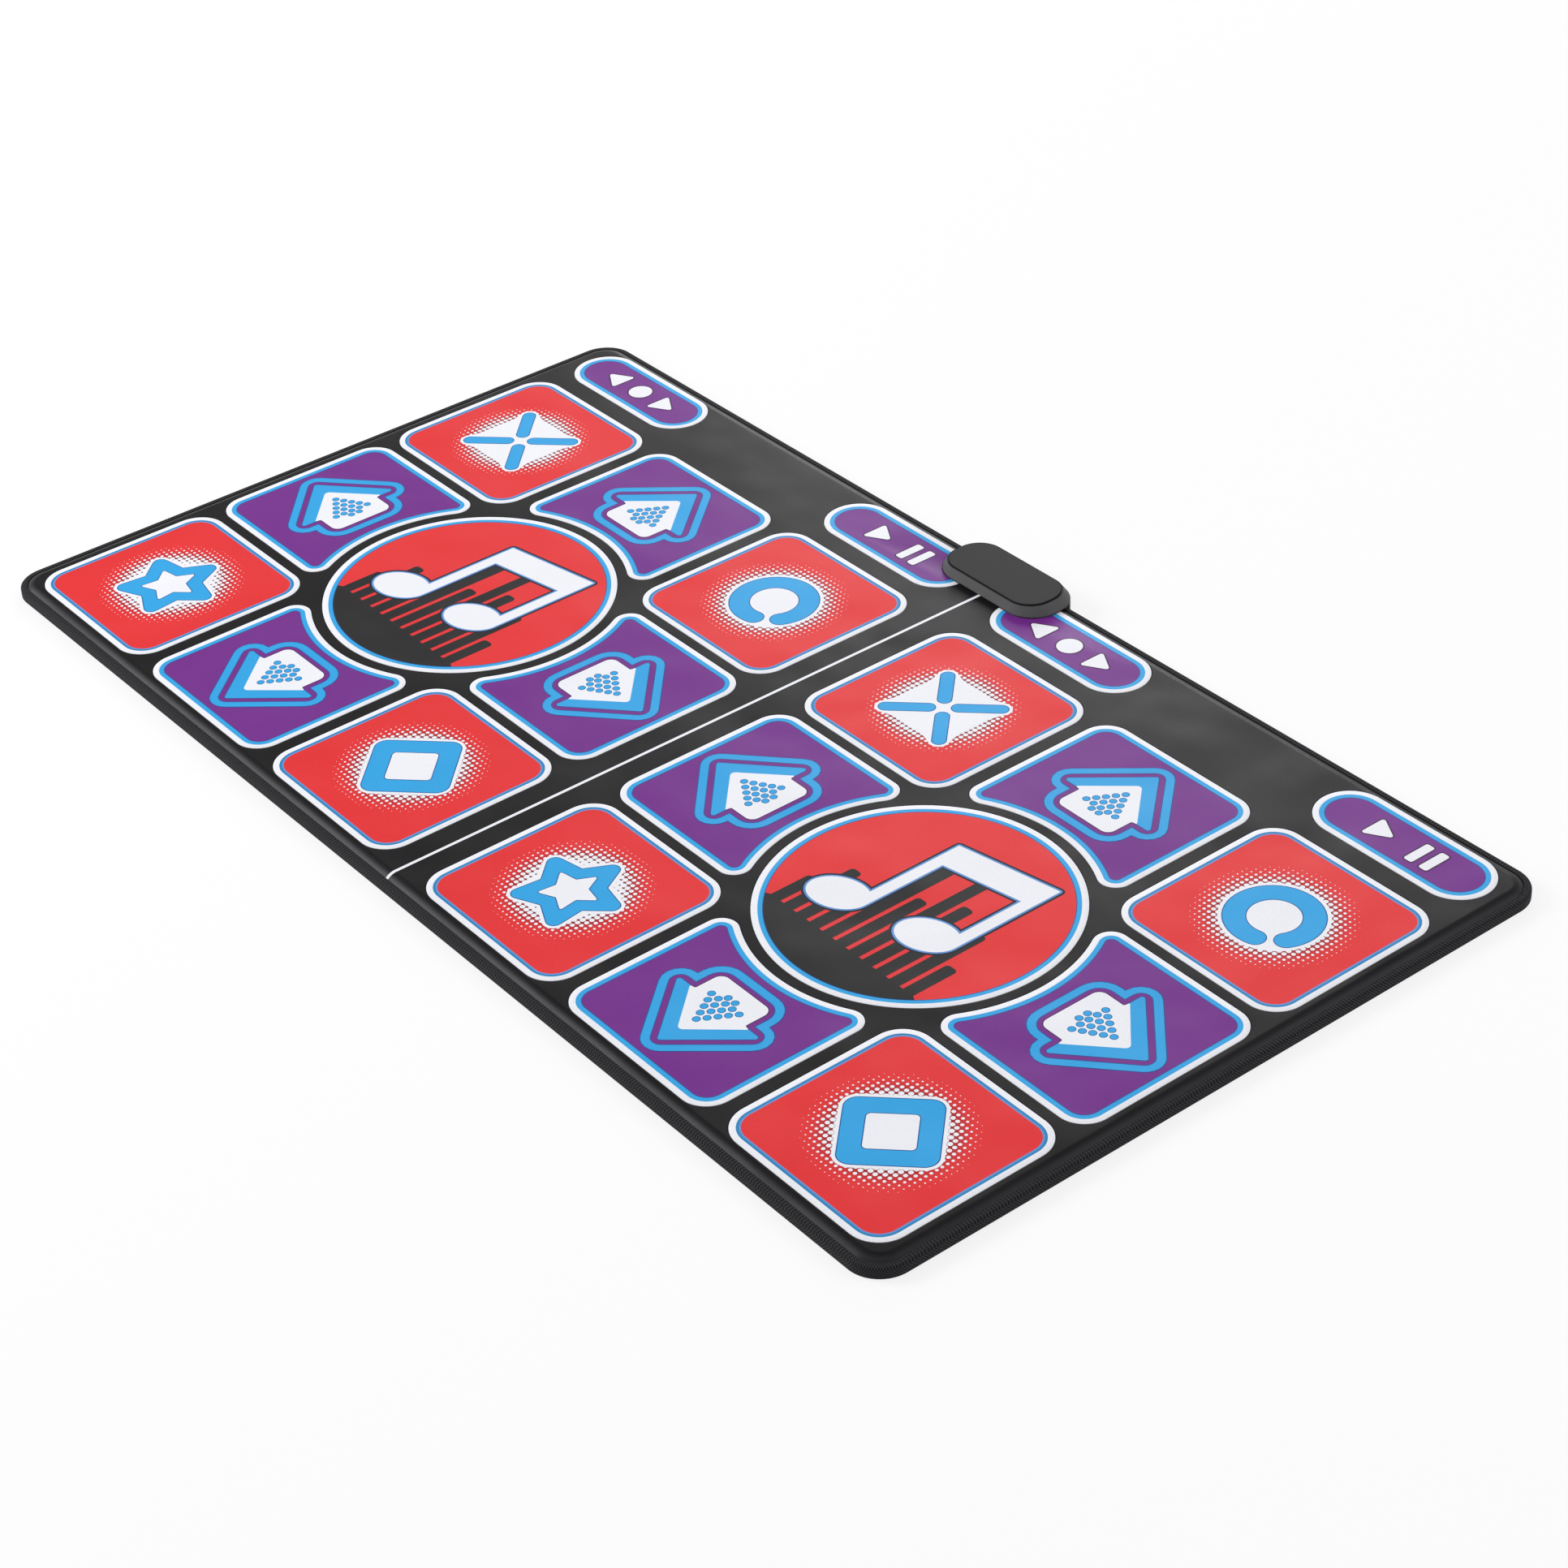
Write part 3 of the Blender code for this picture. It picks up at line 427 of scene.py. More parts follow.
# Painted shade: the groove round the pod's top is painted near-black.
FINISHES["pod_groove_shade"] = grainy("pod_groove_painted_shade", ink(14, 14, 15), 0.60, MOULDED, 0.00003, Specular_IOR_Level=0.2).material
FINISHES["chip"] = grainy("chip_epoxy", ink(26, 26, 28), 0.5, 2400.0, 0.00003).material
FINISHES["rubber"] = grainy("gland_rubber", ink(30, 30, 31), 0.74, 1800.0, 0.00005).material
FINISHES["steel"] = grainy("screw_steel", ink(196, 197, 200), 0.28, 1500.0, 0.00002, Metallic=1.0).material
print(len(FINISHES), "finishes")


# %% [markdown]
# Outlines are worked out before anything is modelled. A rounded corner keeps its centre when the outline
# grows, and only its radius changes, so one function gives a button's edge, the window round it and the
# white halo round a symbol from the same corners.

# %% Outlines
def arc(centre, radius, start, end, steps):
    turns = [math.radians(start + (end - start) * i / steps) for i in range(steps + 1)]
    return [(centre[0] + radius * math.cos(a), centre[1] + radius * math.sin(a)) for a in turns]


def rounded(corners, radius, grow=0.0, steps=6):
    """A polygon, anticlockwise, with its corners rounded; radius may be one number or one for each corner."""
    radii = radius if isinstance(radius, (list, tuple)) else [radius] * len(corners)
    points = []
    for i, corner in enumerate(corners):
        here = Vector(corner)
        before, after = Vector(corners[i - 1]), Vector(corners[(i + 1) % len(corners)])
        come, go = (here - before).normalized(), (after - here).normalized()
        turn = math.atan2(come.x * go.y - come.y * go.x, come.dot(go))
        side = Vector((-come.y, come.x)) + Vector((-go.y, go.x))
        side = side.normalized() / math.cos(turn / 2)
        if turn > 0:
            centre, bend = here + side * radii[i], radii[i] + grow
        else:
            kept = max(radii[i] - grow, 0.0)
            centre, bend = here - side * (grow + kept), -kept
        start = math.atan2(-come.x, come.y)
        for k in range(steps + 1 if abs(bend) > 1e-7 else 1):
            a = start + turn * k / steps
            points.append((centre.x + bend * math.cos(a), centre.y + bend * math.sin(a)))
    return [p for i, p in enumerate(points) if math.dist(p, points[i - 1]) > 1e-6]


def circle(radius):
    return arc((0, 0), radius, 0, 357, 119)


def rectangle(half_x, half_y):
    return [(-half_x, -half_y), (half_x, -half_y), (half_x, half_y), (-half_x, half_y)]


def moved(points, at, degrees=0.0):
    c, s = math.cos(math.radians(degrees)), math.sin(math.radians(degrees))
    return [(at[0] + c * x - s * y, at[1] + s * x + c * y) for x, y in points]


print("points in a circle", len(circle(DISC)))


# %% [markdown]
# An arrow button has one side that goes round the disc, between two small corners. The pod leans in as it
# rises, so its outline takes two measures.

# %% Outlines of the mat, the pod and the buttons
def mat_edge(inset):
    return rounded(rectangle(HALF_X, HALF_Y), MAT_CORNER, -inset, 16)


def pod_edge(inset, lean=0.0):
    """The pod's outline moved in by inset, and by lean as well, of which its front takes only half."""
    trim = inset + lean * 0.75
    corners = rectangle(POD_LENGTH / 2 - inset - lean, POD_DEPTH / 2 - trim)
    return moved(rounded(corners, POD_CORNER - trim, 0.0, 16), (0, POD_Y - lean * 0.25))


def hugging(pitch, grow):
    """An arrow button that points along +Y: its near edge goes round the disc."""
    far, tip_x = PAD / 2 - ARROW_CORNER, PAD / 2 - HUG_CORNER
    reach = math.sqrt((HUG_RADIUS + HUG_CORNER) ** 2 - tip_x**2)
    lean = math.degrees(math.atan2(reach, tip_x))
    points = arc((far, far), ARROW_CORNER + grow, 0, 90, 12)
    points += arc((-far, far), ARROW_CORNER + grow, 90, 180, 12)
    points += arc((-tip_x, reach - pitch), HUG_CORNER + grow, 180, 360 - lean, 14)
    points += arc((0, -pitch), HUG_RADIUS - grow, 180 - lean, lean, 30)[1:-1]
    return points + arc((tip_x, reach - pitch), HUG_CORNER + grow, 180 + lean, 360, 14)


ARROW_TURN = {"up": 0, "left": 90, "down": 180, "right": 270}


def button_edge(button, grow=0.0):
    if button in PILLS:
        return rounded(rectangle(PILL_LENGTH / 2, PILL_WIDTH / 2), PILL_WIDTH / 2, grow, 16)
    if button in ARROW_TURN:
        pitch = ROW if button in ("up", "down") else COLUMN
        return moved(hugging(pitch, grow), (0, 0), ARROW_TURN[button])
    return rounded(rectangle(PAD / 2, PAD / 2), PAD_CORNER, grow, 12)


print("button edges", {b: len(button_edge(b)) for b in ("ring", "up", "start")})


# %% [markdown]
# Every flat piece starts as a filled circle with as many corners as its outline, and each corner is then put
# in its place. Each change of mode or selection goes through a helper, so that no operator ever works on the
# wrong object.

# %% Flat faces
def let_go():
    bpy.ops.object.select_all(action="DESELECT")


def take(piece):
    let_go()
    piece.select_set(True)
    bpy.context.view_layer.objects.active = piece


@contextmanager
def editing(piece, kind="FACE"):
    take(piece)
    bpy.ops.object.mode_set(mode="EDIT")
    bpy.ops.mesh.select_mode(type=kind)
    yield bmesh.from_edit_mesh(piece.data)
    bpy.ops.object.mode_set(mode="OBJECT")


def cut_out(name, points, height, *inks):
    """A flat face on an outline, facing up."""
    let_go()
    bpy.ops.mesh.primitive_circle_add(vertices=len(points), radius=1.0, fill_type="NGON")
    piece = bpy.context.object
    piece.name = piece.data.name = name
    for corner, (x, y) in zip(piece.data.vertices, points):
        corner.co = (x, y, height)
    piece.data.update()
    if piece.data.polygons[0].normal.z < 0:
        with editing(piece):
            bpy.ops.mesh.select_all(action="SELECT")
            bpy.ops.mesh.flip_normals()
    for name_of_ink in inks:
        piece.data.materials.append(FINISHES[name_of_ink])
    return piece


print("flat faces can be made from outlines")

# %% [markdown]
# A flat face becomes a piece in a few moves that come back all through the script. In edit mode it is inset
# for each printed band, and the new inner face takes the next ink. Solidify gives it thickness, and a slab
# with another outline cuts windows and notches.

# %% Moves that change a piece
def apply(piece, kind, **settings):
    take(piece)
    step = piece.modifiers.new(kind.lower(), kind)
    for name, value in settings.items():
        setattr(step, name, value)
    bpy.ops.object.modifier_apply(modifier=step.name)


def smooth(piece, angle=35):
    take(piece)
    bpy.ops.object.shade_smooth_by_angle(angle=math.radians(angle))


def banded(piece, widths):
    """Insets the only face once for each width; each inner face takes the piece's next ink."""
    with editing(piece):
        bpy.ops.mesh.select_all(action="SELECT")
        for number, width in enumerate(widths, 1):
            bpy.ops.mesh.inset(thickness=width, use_even_offset=True)
            piece.active_material_index = number
            bpy.ops.object.material_slot_assign()


def join(pieces, name):
    let_go()
    for piece in pieces:
        piece.select_set(True)
    bpy.context.view_layer.objects.active = pieces[0]
    if len(pieces) > 1:
        bpy.ops.object.join()
    joined = bpy.context.view_layer.objects.active
    joined.name = joined.data.name = name
    return joined


def slab(name, points, low, high):
    piece = cut_out(name, points, low)
    apply(piece, "SOLIDIFY", thickness=high - low, offset=1.0)
    return piece


def cut(piece, cutter):
    apply(piece, "BOOLEAN", operation="DIFFERENCE", object=cutter, solver="EXACT")


def throw_away(piece):
    bpy.data.objects.remove(piece)


print("pieces can be cut, joined and smoothed")

# %% [markdown]
# A finished piece rides on the body that carries it on the real mat, so it moves with a pressed button. The frame's
# solids that it stands for are hidden.


def fit(piece, body, slot, *nodes):
    """Puts a finished piece on its body and hides the frame's solids that it stands for."""
    if nodes:
        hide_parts(*nodes)
    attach(piece, body)


print("pieces can be fitted")

# %% [markdown]
# The cover is the black skin. Near the tape it lies flat, then it rolls up over the foam in a soft curve and
# stays level. The roll is a row of insets, each lifted a little less than the one before.

# %% Black vinyl cover
CREASE, SHOULDER = 0.0002, 0.0006
cover = cut_out("mat_cover", mat_edge(TAPE + SEAM), EDGE_TOP, "black", "white")
with editing(cover):
    bpy.ops.mesh.select_all(action="SELECT")
    bpy.ops.mesh.inset(thickness=FLAP - TAPE, use_even_offset=True)
    bpy.ops.mesh.inset(thickness=CREASE, use_even_offset=True)
    for step in range(ROLL_STEPS):
        slope = 2 * (TOP - EDGE_TOP) * (1 - (step + 0.5) / ROLL_STEPS)
        bpy.ops.mesh.inset(thickness=ROLL / ROLL_STEPS, use_even_offset=True)
        bpy.ops.transform.translate(value=(0, 0, slope / ROLL_STEPS))
    bpy.ops.mesh.inset(thickness=SHOULDER, use_even_offset=True)
apply(cover, "SOLIDIFY", thickness=VINYL, offset=-1.0)
print("rolled sheet", len(cover.data.polygons), "faces")

# %% [markdown]
# The windows for the buttons and discs are cut all at once, with slabs joined into one cutter, and then the
# notch for the pod.

# %% Windows and notch
CUT_LOW, CUT_HIGH = TOP - 0.006, TOP + 0.010
windows = []
for player in DISC_AT:
    for button in [*PLACES, *PILLS]:
        edge = moved(button_edge(button, WINDOW_GAP), button_at(player, button))
        windows.append(slab(f"window_{player}_{button}", edge, CUT_LOW, CUT_HIGH))
    edge = moved(circle(DISC + WINDOW_GAP), DISC_AT[player])
    windows.append(slab(f"window_{player}_disc", edge, CUT_LOW, CUT_HIGH))
windows = join(windows, "windows")
cut(cover, windows)
throw_away(windows)
let_go()
bpy.ops.mesh.primitive_cube_add(size=1.0, location=(0, HALF_Y, 0.01), scale=(NOTCH_WIDTH, 2 * NOTCH_DEPTH, 0.06))
notch = bpy.context.object
take(notch)
bpy.ops.object.transform_apply(location=True, rotation=True, scale=True)
cut(cover, notch)
print("cover with its windows", len(cover.data.polygons), "faces")

# %% [markdown]
# A narrow white line parts the two halves. The skin is cut along both its sides, and the faces between the
# cuts are inked.

# %% White line
for side in (-LINE_HALF, LINE_HALF):
    with editing(cover):
        bpy.ops.mesh.select_all(action="SELECT")
        bpy.ops.mesh.bisect(plane_co=(side, 0, 0), plane_no=(1, 0, 0))
for face in cover.data.polygons:
    on_line = abs(face.center.x) < LINE_HALF and face.normal.z > 0.02 and face.center.z > EDGE_TOP + 0.0002
    face.material_index = 1 if on_line else 0
smooth(cover, 30)
fit(cover, "mat", "vinyl", "top_cover")
print("cover faces", len(cover.data.polygons))


# %% [markdown]
# The tape is folded over the edge: up the outside, in over the skin, and in under the backing. It starts as
# an open loop on the inner edge of the lower flap, and each turn of its section is one more extrusion of
# that loop, put on the mat's outline at the next inset and height.

# %% Skin over a row of loops
def skinned(name, loops, *inks):
    """An open skin: the first loop, then one extrusion for each of the others."""
    outline, height = loops[0]
    let_go()
    bpy.ops.mesh.primitive_circle_add(vertices=len(outline), radius=1.0, fill_type="NOTHING")
    piece = bpy.context.object
    piece.name = piece.data.name = name
    for corner, (x, y) in zip(piece.data.vertices, outline):
        corner.co = (x, y, height)
    for outline, height in loops[1:]:
        with editing(piece, "EDGE") as mesh:
            mesh.verts.ensure_lookup_table()
            count = len(mesh.verts)
            for vert in mesh.verts:
                vert.select = vert.index >= count - len(outline)
            mesh.select_flush_mode()
            for edge in mesh.edges:
                edge.select = all(v.index >= count - len(outline) for v in edge.verts)
            bpy.ops.mesh.extrude_edges_move()
        for corner, (x, y) in zip(list(piece.data.vertices)[-len(outline):], outline):
            corner.co = (x, y, height)
    for name_of_ink in inks:
        piece.data.materials.append(FINISHES[name_of_ink])
    with editing(piece):
        bpy.ops.mesh.select_all(action="SELECT")
        bpy.ops.mesh.normals_make_consistent(inside=False)
    return piece


print("skins can be made from loops")

# %% [markdown]
# The section below lists an inset and a height for each loop of the tape, with a rounded fold low down and a
# wider one above.

# %% Binding
LOW_BEND, HIGH_BEND = 0.0022, 0.0032
section = [(FLAP, 0.0), (0.0030, 0.0)]
section += [(LOW_BEND * (1 - math.sin(a)), LOW_BEND * (1 - math.cos(a))) for a in (0.26, 0.79, 1.31)]
section += [(0.0, 0.0030), (0.0, TAPE_TOP - 0.0040)]
section += [(HIGH_BEND * (1 - math.cos(a)), TAPE_TOP - HIGH_BEND * (1 - math.sin(a))) for a in (0.26, 0.60, 0.96, 1.31)]
section += [(0.0038, TAPE_TOP), (FLAP, TAPE_TOP)]
binding = skinned("edge_tape", [(mat_edge(inset), z) for inset, z in section], "tape")
apply(binding, "SOLIDIFY", thickness=TAPE, offset=-1.0)
cut(binding, notch)
smooth(binding, 40)
fit(binding, "mat", "tape", "edge_binding")
print("binding faces", len(binding.data.polygons))

# %% [markdown]
# The backing is a plain sheet that closes what the tape's lower flap leaves open. It has the same notch for
# the pod, and its raised dots are in its finish.

# %% Backing
BACKING = 0.0010
underside = cut_out("backing_sheet", mat_edge(FLAP + SEAM), 0.0, "backing")
apply(underside, "SOLIDIFY", thickness=BACKING, offset=1.0)
cut(underside, notch)
throw_away(notch)
fit(underside, "mat", "backing", "bottom_cover")
print("backing faces", len(underside.data.polygons))


# %% [markdown]
# A button is a piece of the same sheet with its own print: a white band round the edge, a blue one inside
# it, and the ground.

# %% A printed panel
def panel(name, points, bands, inks):
    piece = cut_out(name, points, TOP, *inks, "black")
    banded(piece, bands)
    apply(piece, "SOLIDIFY", thickness=VINYL, offset=-1.0, material_offset=len(inks))
    return piece


def soften(piece):
    """A fine round on the edges."""
    apply(piece, "BEVEL", width=0.0002, segments=2, limit_method="ANGLE", angle_limit=math.radians(60))
    smooth(piece)


print("bands of a red pad", [round(width * 1000, 1) for width in RED_BANDS], "mm")


# %% [markdown]
# The ground of the red pads carries the halftone, so those pads get a UV map that measures from their centre.
# Two of the long buttons run on under the pod, and are cut there.

# %% Button panels
def measure_pad(piece, at):
    sheet = piece.data.uv_layers.new(name="pad")
    for loop in piece.data.loops:
        x, y, _ = piece.data.vertices[loop.vertex_index].co
        sheet.data[loop.index].uv = ((x - at[0]) / PAD + 0.5, (y - at[1]) / PAD + 0.5)


RED_PAD_INKS = ("white", "sea", "pale", "red_pad")
PURPLE_PAD_INKS = ("white", "blue", "deep", "purple")
panels = {}
pod_cutter = slab("pod_cutter", pod_edge(-POD_CLEARANCE), TOP - 0.02, TOP + 0.02)
for player in DISC_AT:
    for button in [*PLACES, *PILLS]:
        at = button_at(player, button)
        edge = moved(button_edge(button), at)
        on_red = button not in ARROW_TURN and button not in PILLS
        bands, inks = (RED_BANDS, RED_PAD_INKS) if on_red else (PURPLE_BANDS, PURPLE_PAD_INKS)
        piece = panel(f"{player}_{button}_panel", edge, bands, inks)
        if (player, button) in (("p1", "start"), ("p2", "select")):
            cut(piece, pod_cutter)
        soften(piece)
        if on_red:
            measure_pad(piece, at)
        fit(piece, f"{player}_{button}", "red_print" if on_red else "purple_print", f"{player}_panel_{button}")
        panels[player, button] = piece
throw_away(pod_cutter)
print(len(panels), "panels,", sum(len(p.data.polygons) for p in panels.values()), "faces")

# %% [markdown]
# The four arrows are one design, turned: a broad blue head with a white body in front of it, a triangle of
# blue dots on the body, and one blue line that goes round the whole arrow with purple between. The line is
# the arrow's outline grown by about 18 mm, with an inner edge grown by about 7 mm, and it has a fine dark edge
# on both sides.

# %% Figures of an arrow
HEAD = [(-0.069, 0.0067), (0.069, 0.0067), (0.0, 0.085)]
BODY = [
    (-0.0412, 0.0055), (-0.0412, -0.0295), (0.0412, -0.0295), (0.0412, 0.0055),
    (0.0485, 0.0067), (0.0, 0.0600), (-0.0485, 0.0067),
]
BODY_ROUND = [0.0022, 0.0105, 0.0105, 0.0022, 0.0010, 0.0055, 0.0010]
WHOLE = [
    (-0.069, 0.0067), (-0.041, 0.0067), (-0.041, -0.0285), (0.041, -0.0285),
    (0.041, 0.0067), (0.069, 0.0067), (0.0, 0.085),
]
WHOLE_ROUND = [0.004, 0.004, 0.011, 0.011, 0.004, 0.004, 0.004]
DOT_ROWS = [(1, 0.0356), (2, 0.0263), (3, 0.0170), (4, 0.0080), (5, -0.0012), (2, -0.0093)]


def arrow_inks(at, degrees):
    def put(points):
        return moved(points, at, degrees)

    line = ((0.0186, "deep"), (0.0176, "blue"), (0.0082, "deep"), (0.0072, "purple"))
    shapes = [(put(rounded(WHOLE, WHOLE_ROUND, grow)), colour) for grow, colour in line]
    shapes += [(put(rounded(BODY, BODY_ROUND, 0.0011)), "plum"), (put(rounded(HEAD, 0.003, 0.0009)), "deep"),
               (put(rounded(HEAD, 0.003)), "blue"), (put(rounded(BODY, BODY_ROUND)), "white")]
    for size, colour in ((0.0046, "deep"), (0.0038, "blue")):
        for count, row_y in DOT_ROWS:
            for i in range(count):
                dot = arc(((i - (count - 1) / 2) * 0.0114, row_y), size, 0, 340, 17)
                shapes.append((put(dot), colour))
    return shapes


print("figures in an arrow", len(arrow_inks((0, 0), 0)))


# %% [markdown]
# The print is a stack of very thin solids on the panel, so that no two inks that cross share a plane.

# %% Arrows
def printed(name, shapes, body, slot):
    """Inks on one sheet: shapes of one colour in a row share a level, and the later levels lie on the earlier."""
    layers, level, last = [], -1, None
    for number, (points, colour) in enumerate(shapes):
        level, last = level + (colour != last), colour
        piece = cut_out(f"{name}_{number}", points, TOP + LAYER * level, colour)
        apply(piece, "SOLIDIFY", thickness=INK, offset=1.0)
        layers.append(piece)
    fit(join(layers, name), body, slot)


for player in DISC_AT:
    for button, degrees in ARROW_TURN.items():
        name = f"{player}_{button}"
        printed(f"{name}_arrow", arrow_inks(button_at(player, button), degrees), name, "purple_print")
print(2 * len(ARROW_TURN), "arrows")


# %% [markdown]
# The red pads carry a cross, a ring, a star and a diamond. Each is a thick blue stroke with a fine darker
# edge on a white halo. The four bars of the cross, and the ring, have one white shape behind them.

# %% Cross and ring
EDGE_INK = 0.0011
CROSS_BAR, CROSS_ROUND, CROSS_AT = 0.0321, 0.0078, 0.0414
CROSS_TIP, CROSS_HALO = 0.0465, 0.0125
RING_RADIUS, RING_HALF, RING_HALO = 0.0417, 0.0118, 0.0587


def ring_part(start, end, grow):
    """A piece of a ring with round ends."""
    half = RING_HALF + grow
    outer = arc((0, 0), RING_RADIUS + half, start, end, 40)
    inner = arc((0, 0), RING_RADIUS - half, end, start, 40)
    first, last = arc((0, 0), RING_RADIUS, start, end, 1)
    first_end = arc(first, half, start + 180, start + 360, 10)[1:-1]
    last_end = arc(last, half, end, end + 180, 10)[1:-1]
    return outer + last_end + inner + first_end


def cross_inks():
    tips = [(CROSS_TIP * c, CROSS_TIP * s) for c, s in ((1, 1), (-1, 1), (-1, -1), (1, -1))]
    halo = []
    for number, tip in enumerate(tips):
        halo += arc(tip, CROSS_HALO, -38 + 90 * number, 128 + 90 * number, 12)
        halo += moved([(0.024, 0.0525), (0.0, 0.0510), (-0.024, 0.0525)], (0, 0), 90 * number)
    shapes = [(halo, "white")]
    for grow, colour in ((EDGE_INK, "deep"), (0.0, "blue")):
        for number in range(4):
            bar = rounded(rectangle(CROSS_BAR, CROSS_ROUND), CROSS_ROUND, grow, 8)
            shapes.append((moved(moved(bar, (CROSS_AT, 0)), (0, 0), 45 + 90 * number), colour))
    return shapes


def ring_inks():
    ring = [(ring_part(-29, 286, grow), colour) for grow, colour in ((EDGE_INK, "deep"), (0.0, "blue"))]
    return [(circle(RING_HALO), "white"), *ring]


print("figures", len(cross_inks()), len(ring_inks()))

# %% [markdown]
# The star and the diamond use one outline at several sizes: grown by 5 mm in white, by about one millimetre in
# deep blue, and as it is in blue. Their open middle is white again.

# %% Star and diamond
HALO = 0.0050
STAR, STAR_HOLE, STAR_DROP = (0.072, 0.0385), (0.036, 0.0190), 0.003


def polygon(count, radius, first, inner=None):
    """A regular polygon, or a star if an inner radius is given."""
    corners = count * (2 if inner else 1)
    round_it = arc((0, 0), 1.0, first, first + 360, corners)[:-1]
    radii = [radius, inner or radius]
    return [(radii[i % 2] * x, radii[i % 2] * y) for i, (x, y) in enumerate(round_it)]


def stroke_inks(outside, outer_round, inside, inner_round):
    """A closed blue stroke between two outlines."""
    return [(rounded(outside, outer_round, HALO), "white"), (rounded(outside, outer_round, EDGE_INK), "deep"),
            (rounded(outside, outer_round), "blue"), (rounded(inside, inner_round, EDGE_INK), "deep"),
            (rounded(inside, inner_round), "white")]


def star_inks():
    star, hole = (moved(polygon(5, tip, 90, dent), (0, -STAR_DROP)) for tip, dent in (STAR, STAR_HOLE))
    soft = [0.0085 if i % 2 == 0 else 0.003 for i in range(10)]
    return stroke_inks(star, soft, hole, 0.002)


def diamond_inks():
    outside, inside = polygon(4, 0.070, 0), polygon(4, 0.037, 0)
    return stroke_inks(outside, 0.014, inside, 0.005)


print("figures", len(star_inks()), len(diamond_inks()))

# %% [markdown]
# All four go on the pads of both players, each on the body of its own button.

# %% Symbols on the red pads
SYMBOLS = {"cross": cross_inks, "ring": ring_inks, "star": star_inks, "diamond": diamond_inks}
for player in DISC_AT:
    for button, inks_of in SYMBOLS.items():
        at = button_at(player, button)
        shapes = [(moved(points, at), colour) for points, colour in inks_of()]
        printed(f"{player}_{button}_symbol", shapes, f"{player}_{button}", "red_print")
print("symbols on", 2 * len(SYMBOLS), "pads")


# %% [markdown]
# The two long buttons at the back are for choosing and for starting. They carry plain signs instead of
# words: a dot between two arrowheads, and a play sign with a pause sign, in white with a fine dark edge.

# %% Signs on the long buttons
def sign_inks(figures):
    return [(rounded(f, r, 0.0018), "plum") for f, r in figures] + [(rounded(f, r), "white") for f, r in figures]


def head(x, side):
    corners = [(x - side * 0.014, -0.019), (x + side * 0.018, 0.0), (x - side * 0.014, 0.019)]
    return (corners if side > 0 else corners[::-1]), 0.003


SIGNS = {
    "select": [head(-0.050, -1), (polygon(32, 0.0155, 0), 0.0001), head(0.050, 1)],
    "start": [(moved(head(0, 1)[0], (-0.032, 0)), 0.003)]
    + [(moved(rectangle(0.0058, 0.0185), (x, 0)), 0.003) for x in (0.022, 0.043)],
}
for player in DISC_AT:
    for button, figures in SIGNS.items():
        at = button_at(player, button)
        shapes = [(moved(points, at), colour) for points, colour in sign_inks(figures)]
        printed(f"{player}_{button}_sign", shapes, f"{player}_{button}", "purple_print")
print("signs on the long buttons")

# %% [markdown]
# The round middle of each half doesn't move. Its print is a design of the same kind and colours as the rest:
# charcoal sound bars that rise from a dark floor on red, with a pair of notes in front of them. The bars and
# their floor are one outline.

# %% Sound bars
BARS = [0.052, 0.094, 0.070, 0.128, 0.168, 0.112, 0.190, 0.138, 0.086, 0.118, 0.060]
BAR_PITCH, BAR_HALF = 0.0215, 0.0080


def skyline():
    floor = arc((0, 0), DISC - 0.0132, 222, 318, 40)
    base = floor[0][1] + 0.003
    points, radii = list(floor), [0.0001] * len(floor)
    for number, tall in reversed(list(enumerate(BARS))):
        x = (number - (len(BARS) - 1) / 2) * BAR_PITCH
        points += [(x + BAR_HALF, base), (x + BAR_HALF, base + tall), (x - BAR_HALF, base + tall), (x - BAR_HALF, base)]
        radii += [0.0005, 0.0050, 0.0050, 0.0005]
    return rounded(points, radii)


print("points of the bars", len(skyline()))

# %% [markdown]
# The pair of notes is one outline too: each head is part of a leaning ellipse, which runs into its stem, and
# the beam joins the stems. It is white, with a blue and a dark edge.

# %% Discs
HEADS = [(-0.070, -0.052), (0.048, -0.030)]
HEAD_LONG, HEAD_SHORT, HEAD_LEAN = 0.0370, 0.0265, 20
STEM_LEFT, STEM_RIGHT = 0.0209, 0.0359
BEAM_LOW, BEAM_RISE, BEAM_THICK = 0.0675, 0.188, 0.039


def notes(grow):
    heads = []
    for x, y in HEADS:
        leaning = [(HEAD_LONG * c, HEAD_SHORT * s) for c, s in arc((0, 0), 1.0, 39.8, 345.4, 32)]
        heads.append(moved(leaning, (x, y), HEAD_LEAN))
    (left, _), (right, _) = HEADS
    inner = [(x, BEAM_LOW + BEAM_RISE * x) for x in (left + STEM_RIGHT, right + STEM_LEFT)]
    outer = [(x, BEAM_LOW + BEAM_THICK + BEAM_RISE * x) for x in (right + STEM_RIGHT, left + STEM_LEFT)]
    return rounded(heads[0] + inner + heads[1] + outer, 0.0004, grow, 2)


DISC_INKS = ("white", "blue", "deep", "red")
for player, node in (("p1", "disc_left"), ("p2", "disc_right")):
    at = DISC_AT[player]
    disc = panel(f"{player}_disc", moved(circle(DISC), at), DISC_BANDS, DISC_INKS)
    soften(disc)
    fit(disc, "mat", "red_print", node)
    shapes = [(skyline(), "charcoal"), (notes(0.0052), "navy"), (notes(0.0024), "pale"), (notes(0.0), "white")]
    printed(f"{player}_disc_print", [(moved(points, at), colour) for points, colour in shapes], "mat", "red_print")
print("discs printed")

# %% [markdown]
# The pod is two mouldings that clamp the mat's rear edge. The upper one leans in as it rises, less in front than
# elsewhere, and ends in a flat top inside a narrow groove. The groove's faces are painted near-black as painted shade,
# so it reads as a thin dark line. It is skinned loop by loop like the tape, from lists of insets and heights, and its
# top is closed with a face.

